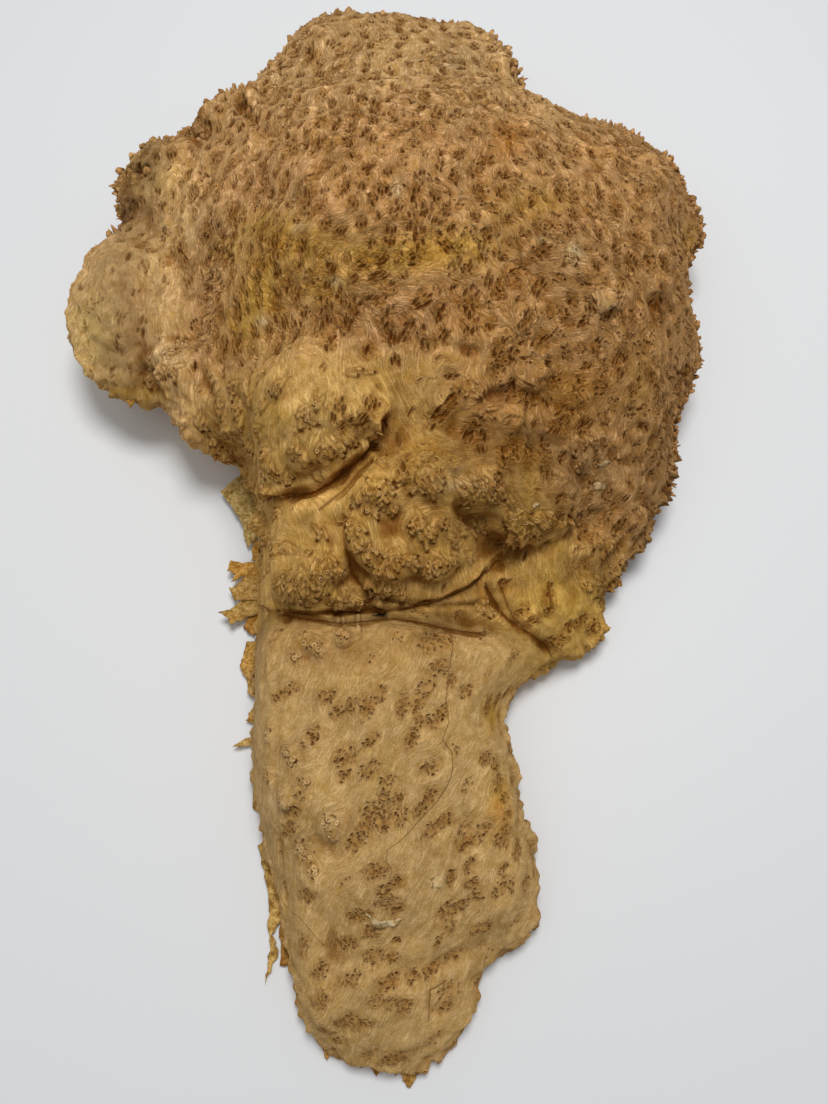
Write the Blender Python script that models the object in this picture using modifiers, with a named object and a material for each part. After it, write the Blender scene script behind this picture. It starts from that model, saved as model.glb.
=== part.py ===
"""A mallee burl cap: one piece of eucalypt burl wood, sawn flat underneath and lying on that face.

Frame: +Z up, the sawn face on Z = 0, the stem end towards -Y and the broad head towards +Y. The
origin is at the middle of the bounding box, on the sawn face. Lengths are in metres.
"""

import bmesh
import bpy
import numpy as np
from mathutils import Vector, noise

# Driving sizes: the finished burl is stretched to these, with its width following its length.
LENGTH = 0.686
HEIGHT = 0.150

# The edge seen from above, anticlockwise from the stem tip. Each row is x, y, then how high the
# widest line of the edge lies, and how far in from it the surface takes to round over.
OUTLINE = (
    # stem tip and the right side of the stem
    (0.006, -0.349, 0.004, 0.020),
    (0.028, -0.342, 0.005, 0.020),
    (0.044, -0.326, 0.006, 0.020),
    (0.049, -0.303, 0.007, 0.020),
    (0.065, -0.292, 0.008, 0.020),
    (0.082, -0.276, 0.009, 0.020),
    (0.084, -0.246, 0.009, 0.018),
    (0.081, -0.228, 0.009, 0.018),
    (0.074, -0.205, 0.009, 0.018),
    (0.073, -0.184, 0.010, 0.018),
    (0.065, -0.168, 0.010, 0.018),
    (0.075, -0.149, 0.011, 0.018),
    # lower right corner of the head
    (0.092, -0.138, 0.011, 0.020),
    (0.115, -0.127, 0.012, 0.022),
    (0.132, -0.114, 0.014, 0.024),
    (0.127, -0.098, 0.016, 0.024),
    (0.140, -0.085, 0.018, 0.026),
    (0.145, -0.073, 0.020, 0.026),
    (0.159, -0.060, 0.022, 0.028),
    (0.168, -0.034, 0.026, 0.030),
    (0.177, -0.019, 0.028, 0.032),
    (0.183, 0.023, 0.032, 0.034),
    # right side of the head
    (0.201, 0.060, 0.034, 0.036),
    (0.198, 0.102, 0.038, 0.038),
    (0.199, 0.136, 0.040, 0.040),
    (0.212, 0.158, 0.042, 0.038),
    (0.203, 0.194, 0.044, 0.038),
    (0.195, 0.217, 0.044, 0.038),
    (0.183, 0.232, 0.045, 0.038),
    (0.157, 0.250, 0.045, 0.038),
    (0.126, 0.252, 0.048, 0.036),
    (0.096, 0.270, 0.050, 0.030),
    # rear lobe
    (0.090, 0.294, 0.054, 0.026),
    (0.068, 0.327, 0.056, 0.026),
    (0.030, 0.333, 0.056, 0.028),
    (0.000, 0.336, 0.056, 0.028),
    (-0.041, 0.335, 0.056, 0.028),
    (-0.063, 0.330, 0.056, 0.028),
    (-0.077, 0.311, 0.056, 0.026),
    (-0.088, 0.288, 0.056, 0.026),
    (-0.100, 0.272, 0.056, 0.028),
    # left shoulder and the upper left lobe
    (-0.111, 0.256, 0.056, 0.030),
    (-0.134, 0.249, 0.056, 0.032),
    (-0.148, 0.228, 0.055, 0.032),
    (-0.171, 0.223, 0.055, 0.030),
    (-0.190, 0.196, 0.052, 0.030),
    (-0.189, 0.178, 0.050, 0.026),
    (-0.182, 0.160, 0.048, 0.024),
    # left lobe
    (-0.197, 0.142, 0.050, 0.030),
    (-0.208, 0.116, 0.050, 0.032),
    (-0.213, 0.085, 0.048, 0.032),
    (-0.207, 0.066, 0.046, 0.030),
    (-0.191, 0.044, 0.042, 0.028),
    (-0.168, 0.028, 0.042, 0.026),
    (-0.146, 0.026, 0.042, 0.024),
    (-0.127, -0.001, 0.040, 0.022),
    (-0.111, -0.003, 0.034, 0.022),
    # left side of the stem, where the wall stands steep
    (-0.098, -0.007, 0.026, 0.022),
    (-0.090, -0.018, 0.020, 0.022),
    (-0.085, -0.035, 0.016, 0.022),
    (-0.082, -0.060, 0.014, 0.022),
    (-0.080, -0.090, 0.012, 0.022),
    (-0.081, -0.120, 0.010, 0.022),
    (-0.081, -0.155, 0.008, 0.022),
    (-0.080, -0.190, 0.006, 0.022),
    (-0.076, -0.216, 0.005, 0.024),
    (-0.069, -0.240, 0.005, 0.024),
    (-0.061, -0.262, 0.005, 0.022),
    (-0.055, -0.290, 0.006, 0.018),
    (-0.045, -0.324, 0.006, 0.020),
    (-0.031, -0.340, 0.005, 0.020),
    (-0.011, -0.346, 0.005, 0.020),
)

# How high the crown stands: x, y, share of HEIGHT. Between the rows it bends like a thin plate.
CROWN = (
    # along the middle, from the stem tip to the rear lobe
    (0.000, -0.325, 0.17),
    (0.005, -0.262, 0.34),
    (0.000, -0.205, 0.45),
    (0.000, -0.145, 0.51),
    (0.000, -0.070, 0.60),
    (0.010, 0.000, 0.86),
    (0.010, 0.070, 0.97),
    (0.010, 0.130, 0.98),
    (0.005, 0.190, 0.86),
    (0.000, 0.250, 0.71),
    (0.000, 0.310, 0.57),
    # left of the middle
    (-0.040, -0.262, 0.30),
    (-0.055, -0.205, 0.40),
    (-0.060, -0.145, 0.49),
    (-0.065, -0.070, 0.53),
    (-0.070, 0.000, 0.72),
    (-0.075, 0.070, 0.84),
    (-0.070, 0.140, 0.84),
    (-0.075, 0.210, 0.72),
    (-0.055, 0.300, 0.57),
    (-0.120, 0.020, 0.46),
    (-0.130, 0.080, 0.50),
    (-0.130, 0.150, 0.60),
    (-0.130, 0.220, 0.54),
    (-0.175, 0.090, 0.48),
    (-0.165, 0.180, 0.50),
    # right of the middle
    (0.050, -0.262, 0.22),
    (0.050, -0.205, 0.32),
    (0.045, -0.150, 0.40),
    (0.065, -0.085, 0.46),
    (0.075, 0.000, 0.72),
    (0.080, 0.070, 0.86),
    (0.080, 0.140, 0.86),
    (0.070, 0.210, 0.73),
    (0.055, 0.290, 0.54),
    (0.110, -0.100, 0.26),
    (0.130, -0.040, 0.42),
    (0.150, 0.030, 0.58),
    (0.160, 0.100, 0.64),
    (0.155, 0.180, 0.58),
    (0.110, 0.230, 0.56),
)
LEAST_OVER_EDGE = 0.012  # of the crown, before it is rounded over

# Knobs of burl on the crown: x, y, radius, height.
KNOBS = (
    (-0.043, -0.030, 0.050, 0.019),
    (-0.036, -0.088, 0.032, 0.019),
    (0.012, -0.080, 0.040, 0.022),
    (0.026, -0.050, 0.026, 0.010),
    (-0.008, -0.062, 0.018, 0.006),
    (0.052, -0.056, 0.022, 0.009),
    (0.089, -0.062, 0.030, 0.010),
    (0.066, -0.034, 0.026, 0.008),
    (0.124, 0.054, 0.024, 0.010),
    (0.104, 0.080, 0.030, 0.006),
    (0.070, 0.027, 0.026, 0.006),
    (0.150, 0.010, 0.026, 0.007),
    (0.172, 0.090, 0.024, 0.006),
    (0.165, 0.165, 0.034, 0.007),
    (-0.165, 0.080, 0.045, 0.004),
    (-0.156, 0.185, 0.034, 0.006),
    (-0.132, 0.034, 0.022, 0.012),
    (-0.116, -0.002, 0.016, 0.010),
    (-0.118, 0.222, 0.030, 0.008),
    (-0.045, 0.290, 0.036, 0.006),
    (0.060, 0.290, 0.030, 0.006),
    (-0.024, -0.136, 0.014, 0.004),
    (-0.036, -0.205, 0.022, 0.004),
    (0.000, -0.250, 0.026, 0.005),
    (0.060, -0.250, 0.022, 0.004),
    (-0.014, -0.300, 0.022, 0.004),
)

KNOB_FULLNESS = 0.8  # 0.5 would make each knob a half ball, 1 makes it a shallow dish

# Folds between the knobs: half width, depth, then the points that the fold runs through.
FOLDS = (
    # under the head, where it bulges over the stem
    (0.0075, 0.008, ((-0.084, -0.112), (-0.032, -0.117), (0.010, -0.118), (0.040, -0.121))),
    (0.0090, 0.008, ((0.040, -0.121), (0.068, -0.124), (0.096, -0.122))),
    # under the left knob
    (0.0070, 0.009, ((-0.076, -0.062), (-0.047, -0.062), (-0.020, -0.052), (-0.002, -0.034))),
    # round the middle knob
    (0.0065, 0.006, ((-0.020, -0.080), (-0.016, -0.106), (0.008, -0.112), (0.036, -0.108))),
    # the dark hollow right of it
    (0.0150, 0.014, ((0.056, -0.080), (0.062, -0.094), (0.054, -0.108))),
    # in front of the rear lobe
    (0.0150, 0.004, ((-0.090, 0.238), (-0.040, 0.226), (0.018, 0.230), (0.060, 0.238), (0.094, 0.258))),
    # between the head and the left lobes
    (0.0130, 0.011, ((-0.112, 0.104), (-0.124, 0.058), (-0.146, 0.034))),
    (0.0090, 0.008, ((-0.180, 0.152), (-0.140, 0.124))),
    # across the foot of the stem
    (0.0090, 0.004, ((-0.050, -0.276), (-0.010, -0.288), (0.020, -0.296), (0.048, -0.290))),
)

STEPS_PER_SPAN = 8  # points on the smooth outline between two rows of OUTLINE
EDGE_THICKNESS = 0.005  # of the wood at its widest line
UNDERCUT_SLOPE = 1.0  # how far in the underside runs for each unit of height at the edge
UNDERCUT_HOLLOW = 1.2  # 1 would make the underside a straight slope, more makes it hollow
LEAST_RUN = 1e-4
BELOW_SAW = 0.006  # wood that the saw takes off
SAW_LEVELLING = 1e-4  # points this near the sawn face are put on it
WELD_DISTANCE = 1e-5
TINY = 1e-9  # keeps divisions and logarithms away from zero
BLANK_THICKNESS = 0.030
BLANK_VOXEL = 0.0045
SKIN_VOXEL = 0.0045
EASING_ROUNDS = 2
SURFACE_SHARE = 0.14  # of the remeshed faces that are kept
LUMP_SIZE = 0.030
LUMP_HEIGHT = 0.0022
LUMP_ROUGHNESS = 0.6
LUMP_LACUNARITY = 2.0
LUMP_OCTAVES = 3
SEED_OFFSET = Vector((3.1, 7.7, 1.9))

SHARP_ANGLE = np.radians(60)
WOOD_COLOUR = (0.33, 0.20, 0.09, 1)
WOOD_ROUGHNESS = 0.62


def clear_scene():
    for obj in list(bpy.data.objects):
        bpy.data.objects.remove(obj)


def smooth_outline():
    """OUTLINE as a closed Catmull-Rom curve. Columns are x, y, edge height and rounding."""
    rows = np.array(OUTLINE)
    before, after, beyond = (np.roll(rows, n, axis=0) for n in (1, -1, -2))
    spans = []
    for t in np.arange(STEPS_PER_SPAN) / STEPS_PER_SPAN:
        spans.append(
            0.5
            * (
                2 * rows
                + (after - before) * t
                + (2 * before - 5 * rows + 4 * after - beyond) * t**2
                + (3 * rows - before - 3 * after + beyond) * t**3
            )
        )
    curve = np.stack(spans, axis=1).reshape(-1, rows.shape[1])
    curve[:, 2:] = np.maximum(curve[:, 2:], rows[:, 2:].min(axis=0))
    return curve


def nearest_on_polyline(points, line, closed):
    """For each point: distance to the line, the nearest place on it, and the line's row there."""
    ends = np.roll(line, -1, axis=0) if closed else line[1:]
    starts = line if closed else line[:-1]
    best = np.full(len(points), np.inf)
    rows = np.zeros((len(points), line.shape[1]))
    for start, end in zip(starts, ends):
        along = end[:2] - start[:2]
        share = np.clip((points - start[:2]) @ along / max(along @ along, TINY**2), 0, 1)
        row = start + share[:, None] * (end - start)
        distance = np.hypot(*(points - row[:, :2]).T)
        nearer = distance < best
        best[nearer] = distance[nearer]
        rows[nearer] = row[nearer]
    return best, rows


def plate_bend(apart):
    """The thin-plate spline's kernel, r squared times the logarithm of r."""
    return apart**2 * np.log(np.maximum(apart, TINY))


def crown_height(points):
    """Height of the crown before knobs and folds: a thin plate laid through the rows of CROWN."""
    rows = np.array(CROWN)
    count = len(rows)
    apart = np.hypot(rows[:, None, 0] - rows[:, 0], rows[:, None, 1] - rows[:, 1])
    level = np.column_stack([np.ones(count), rows[:, :2]])
    system = np.zeros((count + 3, count + 3))
    system[:count, :count] = plate_bend(apart)
    system[:count, count:] = level
    system[count:, :count] = level.T
    pull = np.linalg.solve(system, np.append(rows[:, 2], np.zeros(3)))
    apart = np.hypot(points[:, None, 0] - rows[:, 0], points[:, None, 1] - rows[:, 1])
    share = plate_bend(apart) @ pull[:count] + pull[count] + points @ pull[count + 1 :]
    return share * HEIGHT


def relief(points):
    """Knobs and lumps added to the crown, and folds taken from it."""
    height = np.zeros(len(points))
    for x, y, radius, rise in KNOBS:
        share = np.clip(np.hypot(points[:, 0] - x, points[:, 1] - y) / radius, 0, 1)
        height += rise * (1 - share**2) ** KNOB_FULLNESS
    for half_width, depth, route in FOLDS:
        distance, _ = nearest_on_polyline(points, np.array(route), closed=False)
        height -= depth * np.exp(-((distance / half_width) ** 2))
    spots = [Vector((x, y, 0)) / LUMP_SIZE + SEED_OFFSET for x, y in points]
    lumps = [noise.fractal(spot, LUMP_ROUGHNESS, LUMP_LACUNARITY, LUMP_OCTAVES) for spot in spots]
    return height + LUMP_HEIGHT * np.array(lumps)


def evaluated_copy(obj, name):
    """A new mesh object with obj's modifiers applied, in place of obj."""
    graph = bpy.context.evaluated_depsgraph_get()
    mesh = bpy.data.meshes.new_from_object(obj.evaluated_get(graph))
    made = bpy.data.objects.new(name, mesh)
    made.matrix_world = obj.matrix_world
    bpy.context.scene.collection.objects.link(made)
    bpy.data.objects.remove(obj)
    return made


def remeshed(obj, voxel):
    modifier = obj.modifiers.new("even_faces", "REMESH")
    modifier.mode = "VOXEL"
    modifier.voxel_size = voxel
    bpy.context.view_layer.update()
    return evaluated_copy(obj, obj.name)


def make_blank(outline):
    """A flat board with the burl's outline, as a filled and extruded curve."""
    curve = bpy.data.curves.new("blank", "CURVE")
    curve.dimensions = "2D"
    curve.fill_mode = "BOTH"
    curve.extrude = BLANK_THICKNESS / 2
    spline = curve.splines.new("POLY")
    spline.points.add(len(outline) - 1)
    for point, (x, y) in zip(spline.points, outline[:, :2]):
        point.co = (x, y, 0, 1)
    spline.use_cyclic_u = True
    blank = bpy.data.objects.new("blank", curve)
    bpy.context.scene.collection.objects.link(blank)
    bpy.context.view_layer.update()
    board = evaluated_copy(blank, "burl")
    weld = bmesh.new()
    weld.from_mesh(board.data)
    bmesh.ops.remove_doubles(weld, verts=weld.verts, dist=WELD_DISTANCE)
    bmesh.ops.recalc_face_normals(weld, faces=weld.faces)
    weld.to_mesh(board.data)
    weld.free()
    return remeshed(board, BLANK_VOXEL)


def carve(board, outline):
    """Moves the board's skin so that its top is the burl's surface and its underside is undercut."""
    mesh = board.data
    points = np.zeros(len(mesh.vertices) * 3)
    mesh.vertices.foreach_get("co", points)
    points = points.reshape(-1, 3)
    plan = points[:, :2]
    share = np.clip(points[:, 2] / BLANK_THICKNESS + 0.5, 0, 1)

    inside, edge = nearest_on_polyline(plan, outline, closed=True)
    edge_height, rounding = edge[:, 2], edge[:, 3]

    # A parabola from the edge to the crown: points crowd towards the edge, where it is steep.
    angle = np.clip(inside / rounding, 0, 1) * np.pi / 2
    drawn_out = np.where(inside < rounding, rounding * (1 - np.cos(angle)), inside)
    top_plan = edge[:, :2] + (plan - edge[:, :2]) * (drawn_out / np.maximum(inside, TINY))[:, None]
    crown = np.maximum(crown_height(top_plan), edge_height + LEAST_OVER_EDGE)
    fade = np.sin(angle) ** 2
    top = edge_height + EDGE_THICKNESS / 2 + (crown - edge_height) * fade + relief(top_plan) * fade

    run = np.maximum(edge_height * UNDERCUT_SLOPE, LEAST_RUN)
    up = 1 - np.clip(inside / run, 0, 1)
    under = -BELOW_SAW + (edge_height + BELOW_SAW - EDGE_THICKNESS / 2) * up**UNDERCUT_HOLLOW

    plan = plan + (top_plan - plan) * share[:, None]
    height = under + (top - under) * share
    points = np.column_stack([plan, height])
    mesh.vertices.foreach_set("co", points.ravel())
    mesh.update()


def saw_flat(obj):
    """Cuts everything below Z = 0 away and closes the sawn face."""
    cut = bmesh.new()
    cut.from_mesh(obj.data)
    everything = cut.verts[:] + cut.edges[:] + cut.faces[:]
    sawn = bmesh.ops.bisect_plane(
        cut, geom=everything, plane_co=(0, 0, 0), plane_no=(0, 0, 1), clear_inner=True, dist=WELD_DISTANCE
    )
    rim = [item for item in sawn["geom_cut"] if isinstance(item, bmesh.types.BMEdge)]
    bmesh.ops.edgeloop_fill(cut, edges=rim)
    bmesh.ops.triangulate(cut, faces=cut.faces)
    bmesh.ops.recalc_face_normals(cut, faces=cut.faces)
    cut.to_mesh(obj.data)
    cut.free()


def fit_to_sizes(obj):
    """Stretches obj to LENGTH and HEIGHT and centres it over the origin, resting on Z = 0."""
    mesh = obj.data
    points = np.zeros(len(mesh.vertices) * 3)
    mesh.vertices.foreach_get("co", points)
    points = points.reshape(-1, 3)
    low, high = points.min(axis=0), points.max(axis=0)
    spread = LENGTH / (high[1] - low[1])
    points[:, :2] = (points[:, :2] - (low + high)[:2] / 2) * spread
    points[:, 2] *= HEIGHT / high[2]
    points[points[:, 2] < SAW_LEVELLING, 2] = 0
    mesh.vertices.foreach_set("co", points.ravel())
    mesh.update()


def burl_wood():
    material = bpy.data.materials.new("burl_wood")
    material.use_nodes = True
    shader = material.node_tree.nodes["Principled BSDF"]
    shader.inputs["Base Color"].default_value = WOOD_COLOUR
    shader.inputs["Roughness"].default_value = WOOD_ROUGHNESS
    shader.inputs["Metallic"].default_value = 0.0
    return material


def main():
    clear_scene()
    outline = smooth_outline()
    board = make_blank(outline)
    carve(board, outline)
    skin = remeshed(board, SKIN_VOXEL)
    eased = skin.modifiers.new("eased", "SMOOTH")
    eased.factor = 0.5
    eased.iterations = EASING_ROUNDS
    fewer = skin.modifiers.new("fewer_faces", "DECIMATE")
    fewer.ratio = SURFACE_SHARE
    bpy.context.view_layer.update()
    burl = evaluated_copy(skin, "burl")
    saw_flat(burl)
    fit_to_sizes(burl)
    burl.data.materials.clear()
    burl.data.materials.append(burl_wood())
    burl.data.shade_smooth()
    burl.data.set_sharp_from_angle(angle=SHARP_ANGLE)
    parts = bpy.data.collections.new("mallee_burl")
    bpy.context.scene.collection.children.link(parts)
    bpy.context.scene.collection.objects.unlink(burl)
    parts.objects.link(burl)


main()
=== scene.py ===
import math
from collections import namedtuple

import bmesh
import bpy
import numpy as np
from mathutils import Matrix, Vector, noise
from mathutils.bvhtree import BVHTree
from mathutils.kdtree import KDTree


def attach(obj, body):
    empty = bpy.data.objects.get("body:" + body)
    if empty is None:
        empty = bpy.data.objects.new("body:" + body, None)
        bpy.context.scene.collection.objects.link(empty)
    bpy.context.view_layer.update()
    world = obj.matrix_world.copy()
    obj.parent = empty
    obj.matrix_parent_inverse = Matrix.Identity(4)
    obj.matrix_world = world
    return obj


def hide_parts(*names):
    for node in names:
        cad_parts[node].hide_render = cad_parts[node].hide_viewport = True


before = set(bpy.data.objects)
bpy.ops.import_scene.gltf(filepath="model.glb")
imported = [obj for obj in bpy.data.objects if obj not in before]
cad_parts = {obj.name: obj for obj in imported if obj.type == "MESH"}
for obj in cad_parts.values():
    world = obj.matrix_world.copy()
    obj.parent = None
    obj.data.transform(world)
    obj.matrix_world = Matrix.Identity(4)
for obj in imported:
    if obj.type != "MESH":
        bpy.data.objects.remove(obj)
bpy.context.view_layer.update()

# The camera that took the photograph, in the frame of the burl
PHOTO_W, PHOTO_H = 828, 1104
LENS_MM, SENSOR_MM = 28.0, 36.0
CAMERA_ELEVATION = math.radians(70)
CAMERA_DISTANCE = 0.554
CAMERA_AIM = np.array([0.0145, -0.0503, 0.0])
PX = 0.00063  # metres on the burl that one pixel of the photograph spans

MM = 0.001
VOXEL = 0.0018
FACET_ROUNDS = 30
PIECE_TRIANGLES = 180000
UNDERSIDE_Z = 0.0006  # what lies lower belongs to the flat underside
STAND_BAND = 0.006  # the relief fades in over this height above the underside
LOWEST_DETAIL = 0.004
STEM_EDGE = (-0.122, -0.108)  # the knobs pass into the stem between these two Y
KNOB_EDGE = (-0.012, 0.040)  # the head passes into the knobs between these two Y
HEAD_EDGE_Y = -0.135  # the edge has its largest teeth at a greater Y than this
RANDOM_TRIES = 50000
WALL_SPACING = 0.0040
SHOULDER_SPACING = 0.0046
ROUND_HOLES_PX = 450  # eyes right of this column often have round holes

SEED = 7
rng = np.random.default_rng(SEED)
noise.seed_set(SEED)  # noise_vector takes the clock as its seed otherwise


# Camera geometry
def camera_axes():
    ahead = np.array([0.0, math.cos(CAMERA_ELEVATION), -math.sin(CAMERA_ELEVATION)])
    up = np.array([0.0, math.sin(CAMERA_ELEVATION), math.cos(CAMERA_ELEVATION)])
    right = np.array([1.0, 0.0, 0.0])
    return CAMERA_AIM - CAMERA_DISTANCE * ahead, ahead, right, up


FOCAL_PX = PHOTO_H * LENS_MM / SENSOR_MM


def to_photo(points):
    """Where each point is seen, in pixels of the photograph."""
    place, ahead, right, up = camera_axes()
    away = points - place
    depth = away @ ahead
    across = PHOTO_W / 2 + FOCAL_PX * (away @ right) / depth
    down = PHOTO_H / 2 - FOCAL_PX * (away @ up) / depth
    return np.column_stack([across, down])


def ray_through(px, py):
    place, ahead, right, up = camera_axes()
    way = ahead + right * (px - PHOTO_W / 2) / FOCAL_PX + up * (PHOTO_H / 2 - py) / FOCAL_PX
    return Vector(place), Vector(way).normalized()


def placed(tree, px, py):
    """The point of the burl seen at that pixel of the photograph, or None."""
    start, way = ray_through(px, py)
    hit = tree.ray_cast(start, way)
    return None if hit[0] is None else np.array(hit[0])


def on_level(px, py, height):
    """The point at that height seen at that pixel of the photograph."""
    start, way = ray_through(px, py)
    return start + way * ((height - start.z) / way.z)


# Numbers and noise
def smoothstep(low, high, x):
    t = np.clip((x - low) / (high - low), 0, 1)
    return t * t * (3 - 2 * t)


def unit(vectors):
    return vectors / (np.linalg.norm(vectors, axis=-1, keepdims=True) + 1e-12)


def dot(a, b):
    return np.einsum("ij,ij->i", a, b)


def field(points, size, seed, octaves=2):
    """Smooth noise from -1 to 1 with features of the given size, the same for the same seed."""
    shift = Vector((seed * 3.7, seed * 1.3, seed * 9.1))
    return np.array([noise.fractal(Vector(p) / size + shift, 0.7, 2.1, octaves) for p in points.tolist()])


def billow(points, size, seed):
    """Round lumps with creases between them, from 0 in a crease to about 1."""
    return np.abs(field(points, size, seed, 1)) * 2.2


def tree_of(places):
    tree = KDTree(len(places))
    for i, place in enumerate(places):
        tree.insert(place, i)
    tree.balance()
    return tree


def nearest_of(places, points):
    tree = tree_of(places)
    return np.array([tree.find(p)[1] for p in points.tolist()])


def segment_distance(points, start, end):
    along = end - start
    share = np.clip((points - start) @ along / max(along @ along, 1e-12), 0, 1)
    return np.linalg.norm(points - start - share[:, None] * along, axis=1)


def spread_in_disc(count, radius, apart):
    """Random places in a disc that stay apart."""
    spots = []
    for _ in range(count * 12):
        r, turn = radius * math.sqrt(rng.random()), rng.random() * 2 * math.pi
        spot = (r * math.cos(turn), r * math.sin(turn))
        if all(math.hypot(spot[0] - q[0], spot[1] - q[1]) > apart for q in spots):
            spots.append(spot)
        if len(spots) == count:
            break
    return spots


def scatter(points, order, spacing):
    """Picks points in that order, each at least its own spacing from those before it."""
    cell = max(spacing)
    grid = {}
    chosen = []
    steps = [(a, b, c) for a in (-1, 0, 1) for b in (-1, 0, 1) for c in (-1, 0, 1)]
    for i in order:
        x, y, z = points[i]
        reach = spacing[i] ** 2
        kx, ky, kz = int(x // cell), int(y // cell), int(z // cell)
        near = (q for a, b, c in steps for q in grid.get((kx + a, ky + b, kz + c), ()))
        if all((x - q[0]) ** 2 + (y - q[1]) ** 2 + (z - q[2]) ** 2 >= reach for q in near):
            grid.setdefault((kx, ky, kz), []).append((x, y, z))
            chosen.append(i)
    return chosen


# The skin as a mesh
def side_keys(faces, count):
    """For each side of each face, a number that both faces at that side share."""
    ahead = np.roll(faces, -1, axis=1)
    return np.minimum(faces, ahead) * count + np.maximum(faces, ahead)


class Skin:
    """An open shell: its points, faces and edges, and means over neighbours."""

    def __init__(self, verts, faces):
        self.verts, self.faces = verts, faces
        keys, uses = np.unique(side_keys(faces, len(verts)), return_counts=True)
        self.edges = np.column_stack([keys // len(verts), keys % len(verts)])
        self.rim_edges = self.edges[uses == 1]
        self.border = np.zeros(len(verts), bool)
        self.border[self.rim_edges.ravel()] = True
        self.degree = np.bincount(self.edges.ravel(), minlength=len(verts))

    def average(self, values):
        """The mean of each point's neighbours."""
        a, b = self.edges.T
        count = len(self.verts)
        if values.ndim == 1:
            total = np.bincount(a, values[b], count) + np.bincount(b, values[a], count)
            return total / self.degree
        return np.column_stack([self.average(values[:, i]) for i in range(values.shape[1])])

    def blurred(self, values, rounds, factor=0.5):
        for _ in range(rounds):
            values = values + factor * (self.average(values) - values)
        return values

    def smooth(self, rounds, amount):
        """Taubin smoothing, so that the shell does not shrink. amount is a weight for each point."""
        for _ in range(rounds):
            for factor in (0.5, -0.52):
                self.verts += (factor * amount)[:, None] * (self.average(self.verts) - self.verts)

    def normals(self):
        v, f = self.verts, self.faces
        face = np.cross(v[f[:, 2]] - v[f[:, 0]], v[f[:, -1]] - v[f[:, 1]])
        total = np.zeros_like(v)
        for axis in range(3):
            total[:, axis] = sum(np.bincount(f[:, k], face[:, axis], len(v)) for k in range(f.shape[1]))
        return unit(total)

    def tree(self):
        return BVHTree.FromPolygons(self.verts.tolist(), self.faces.tolist())


def fine_skin(cad):
    """The CAD node's surface as an even shell of small quads, without its flat underside."""
    copy = bpy.data.objects.new("burl_fine", cad.data.copy())
    bpy.context.scene.collection.objects.link(copy)
    grain = copy.modifiers.new("grain", "REMESH")
    grain.mode = "VOXEL"
    grain.voxel_size = VOXEL
    bpy.context.view_layer.update()
    mesh = bpy.data.meshes.new_from_object(copy.evaluated_get(bpy.context.evaluated_depsgraph_get()))
    bpy.data.objects.remove(copy)
    verts = np.zeros(len(mesh.vertices) * 3)
    mesh.vertices.foreach_get("co", verts)
    verts = verts.reshape(-1, 3)
    loops = np.zeros(len(mesh.loops), dtype=np.int64)
    mesh.loops.foreach_get("vertex_index", loops)
    quads = loops.reshape(-1, 4)
    bpy.data.meshes.remove(mesh)
    low = verts[:, 2] < UNDERSIDE_Z
    quads = quads[~low[quads].all(axis=1)]
    verts[low, 2] = 0.0
    skin = Skin(*only_used(verts, quads))
    skin.smooth(FACET_ROUNDS, np.where(skin.border, 0.0, 1.0))
    return skin


def only_used(verts, faces):
    used = np.unique(faces)
    renumber = np.full(len(verts), -1)
    renumber[used] = np.arange(len(used))
    return verts[used].copy(), renumber[faces]


def refined(skin, chosen):
    """The shell in triangles, with each chosen quad cut finer.

    Its neighbours take the same new points, so no gap opens.
    """
    verts, quads = skin.verts, skin.faces
    count = len(verts)
    keys = side_keys(quads, count)
    split = np.unique(keys[chosen])
    at = np.searchsorted(split, keys).clip(max=len(split) - 1)
    middle = np.where(split[at] == keys, count + at, -1)
    centre = count + len(split) + np.arange(len(quads))
    cut = (middle >= 0).any(axis=1)
    a, b, c, d = quads[~cut].T
    other = np.linalg.norm(verts[a] - verts[c], axis=1) > np.linalg.norm(verts[b] - verts[d], axis=1)
    a, b, c, d = np.where(other, b, a), np.where(other, c, b), np.where(other, d, c), np.where(other, a, d)
    triangles = [np.column_stack([a, b, c]), np.column_stack([a, c, d])]
    for k in range(4):
        start, end, half = quads[:, k], quads[:, (k + 1) % 4], middle[:, k]
        whole = cut & (half < 0)
        halved = cut & (half >= 0)
        triangles.append(np.column_stack([start, end, centre])[whole])
        triangles.append(np.column_stack([start, half, centre])[halved])
        triangles.append(np.column_stack([half, end, centre])[halved])
    middles = (verts[split // count] + verts[split % count]) / 2
    points = np.concatenate([verts, middles, verts[quads].mean(axis=1)])
    return Skin(*only_used(points, np.concatenate(triangles)))


MOUND_STEP = 0.0015
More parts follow.
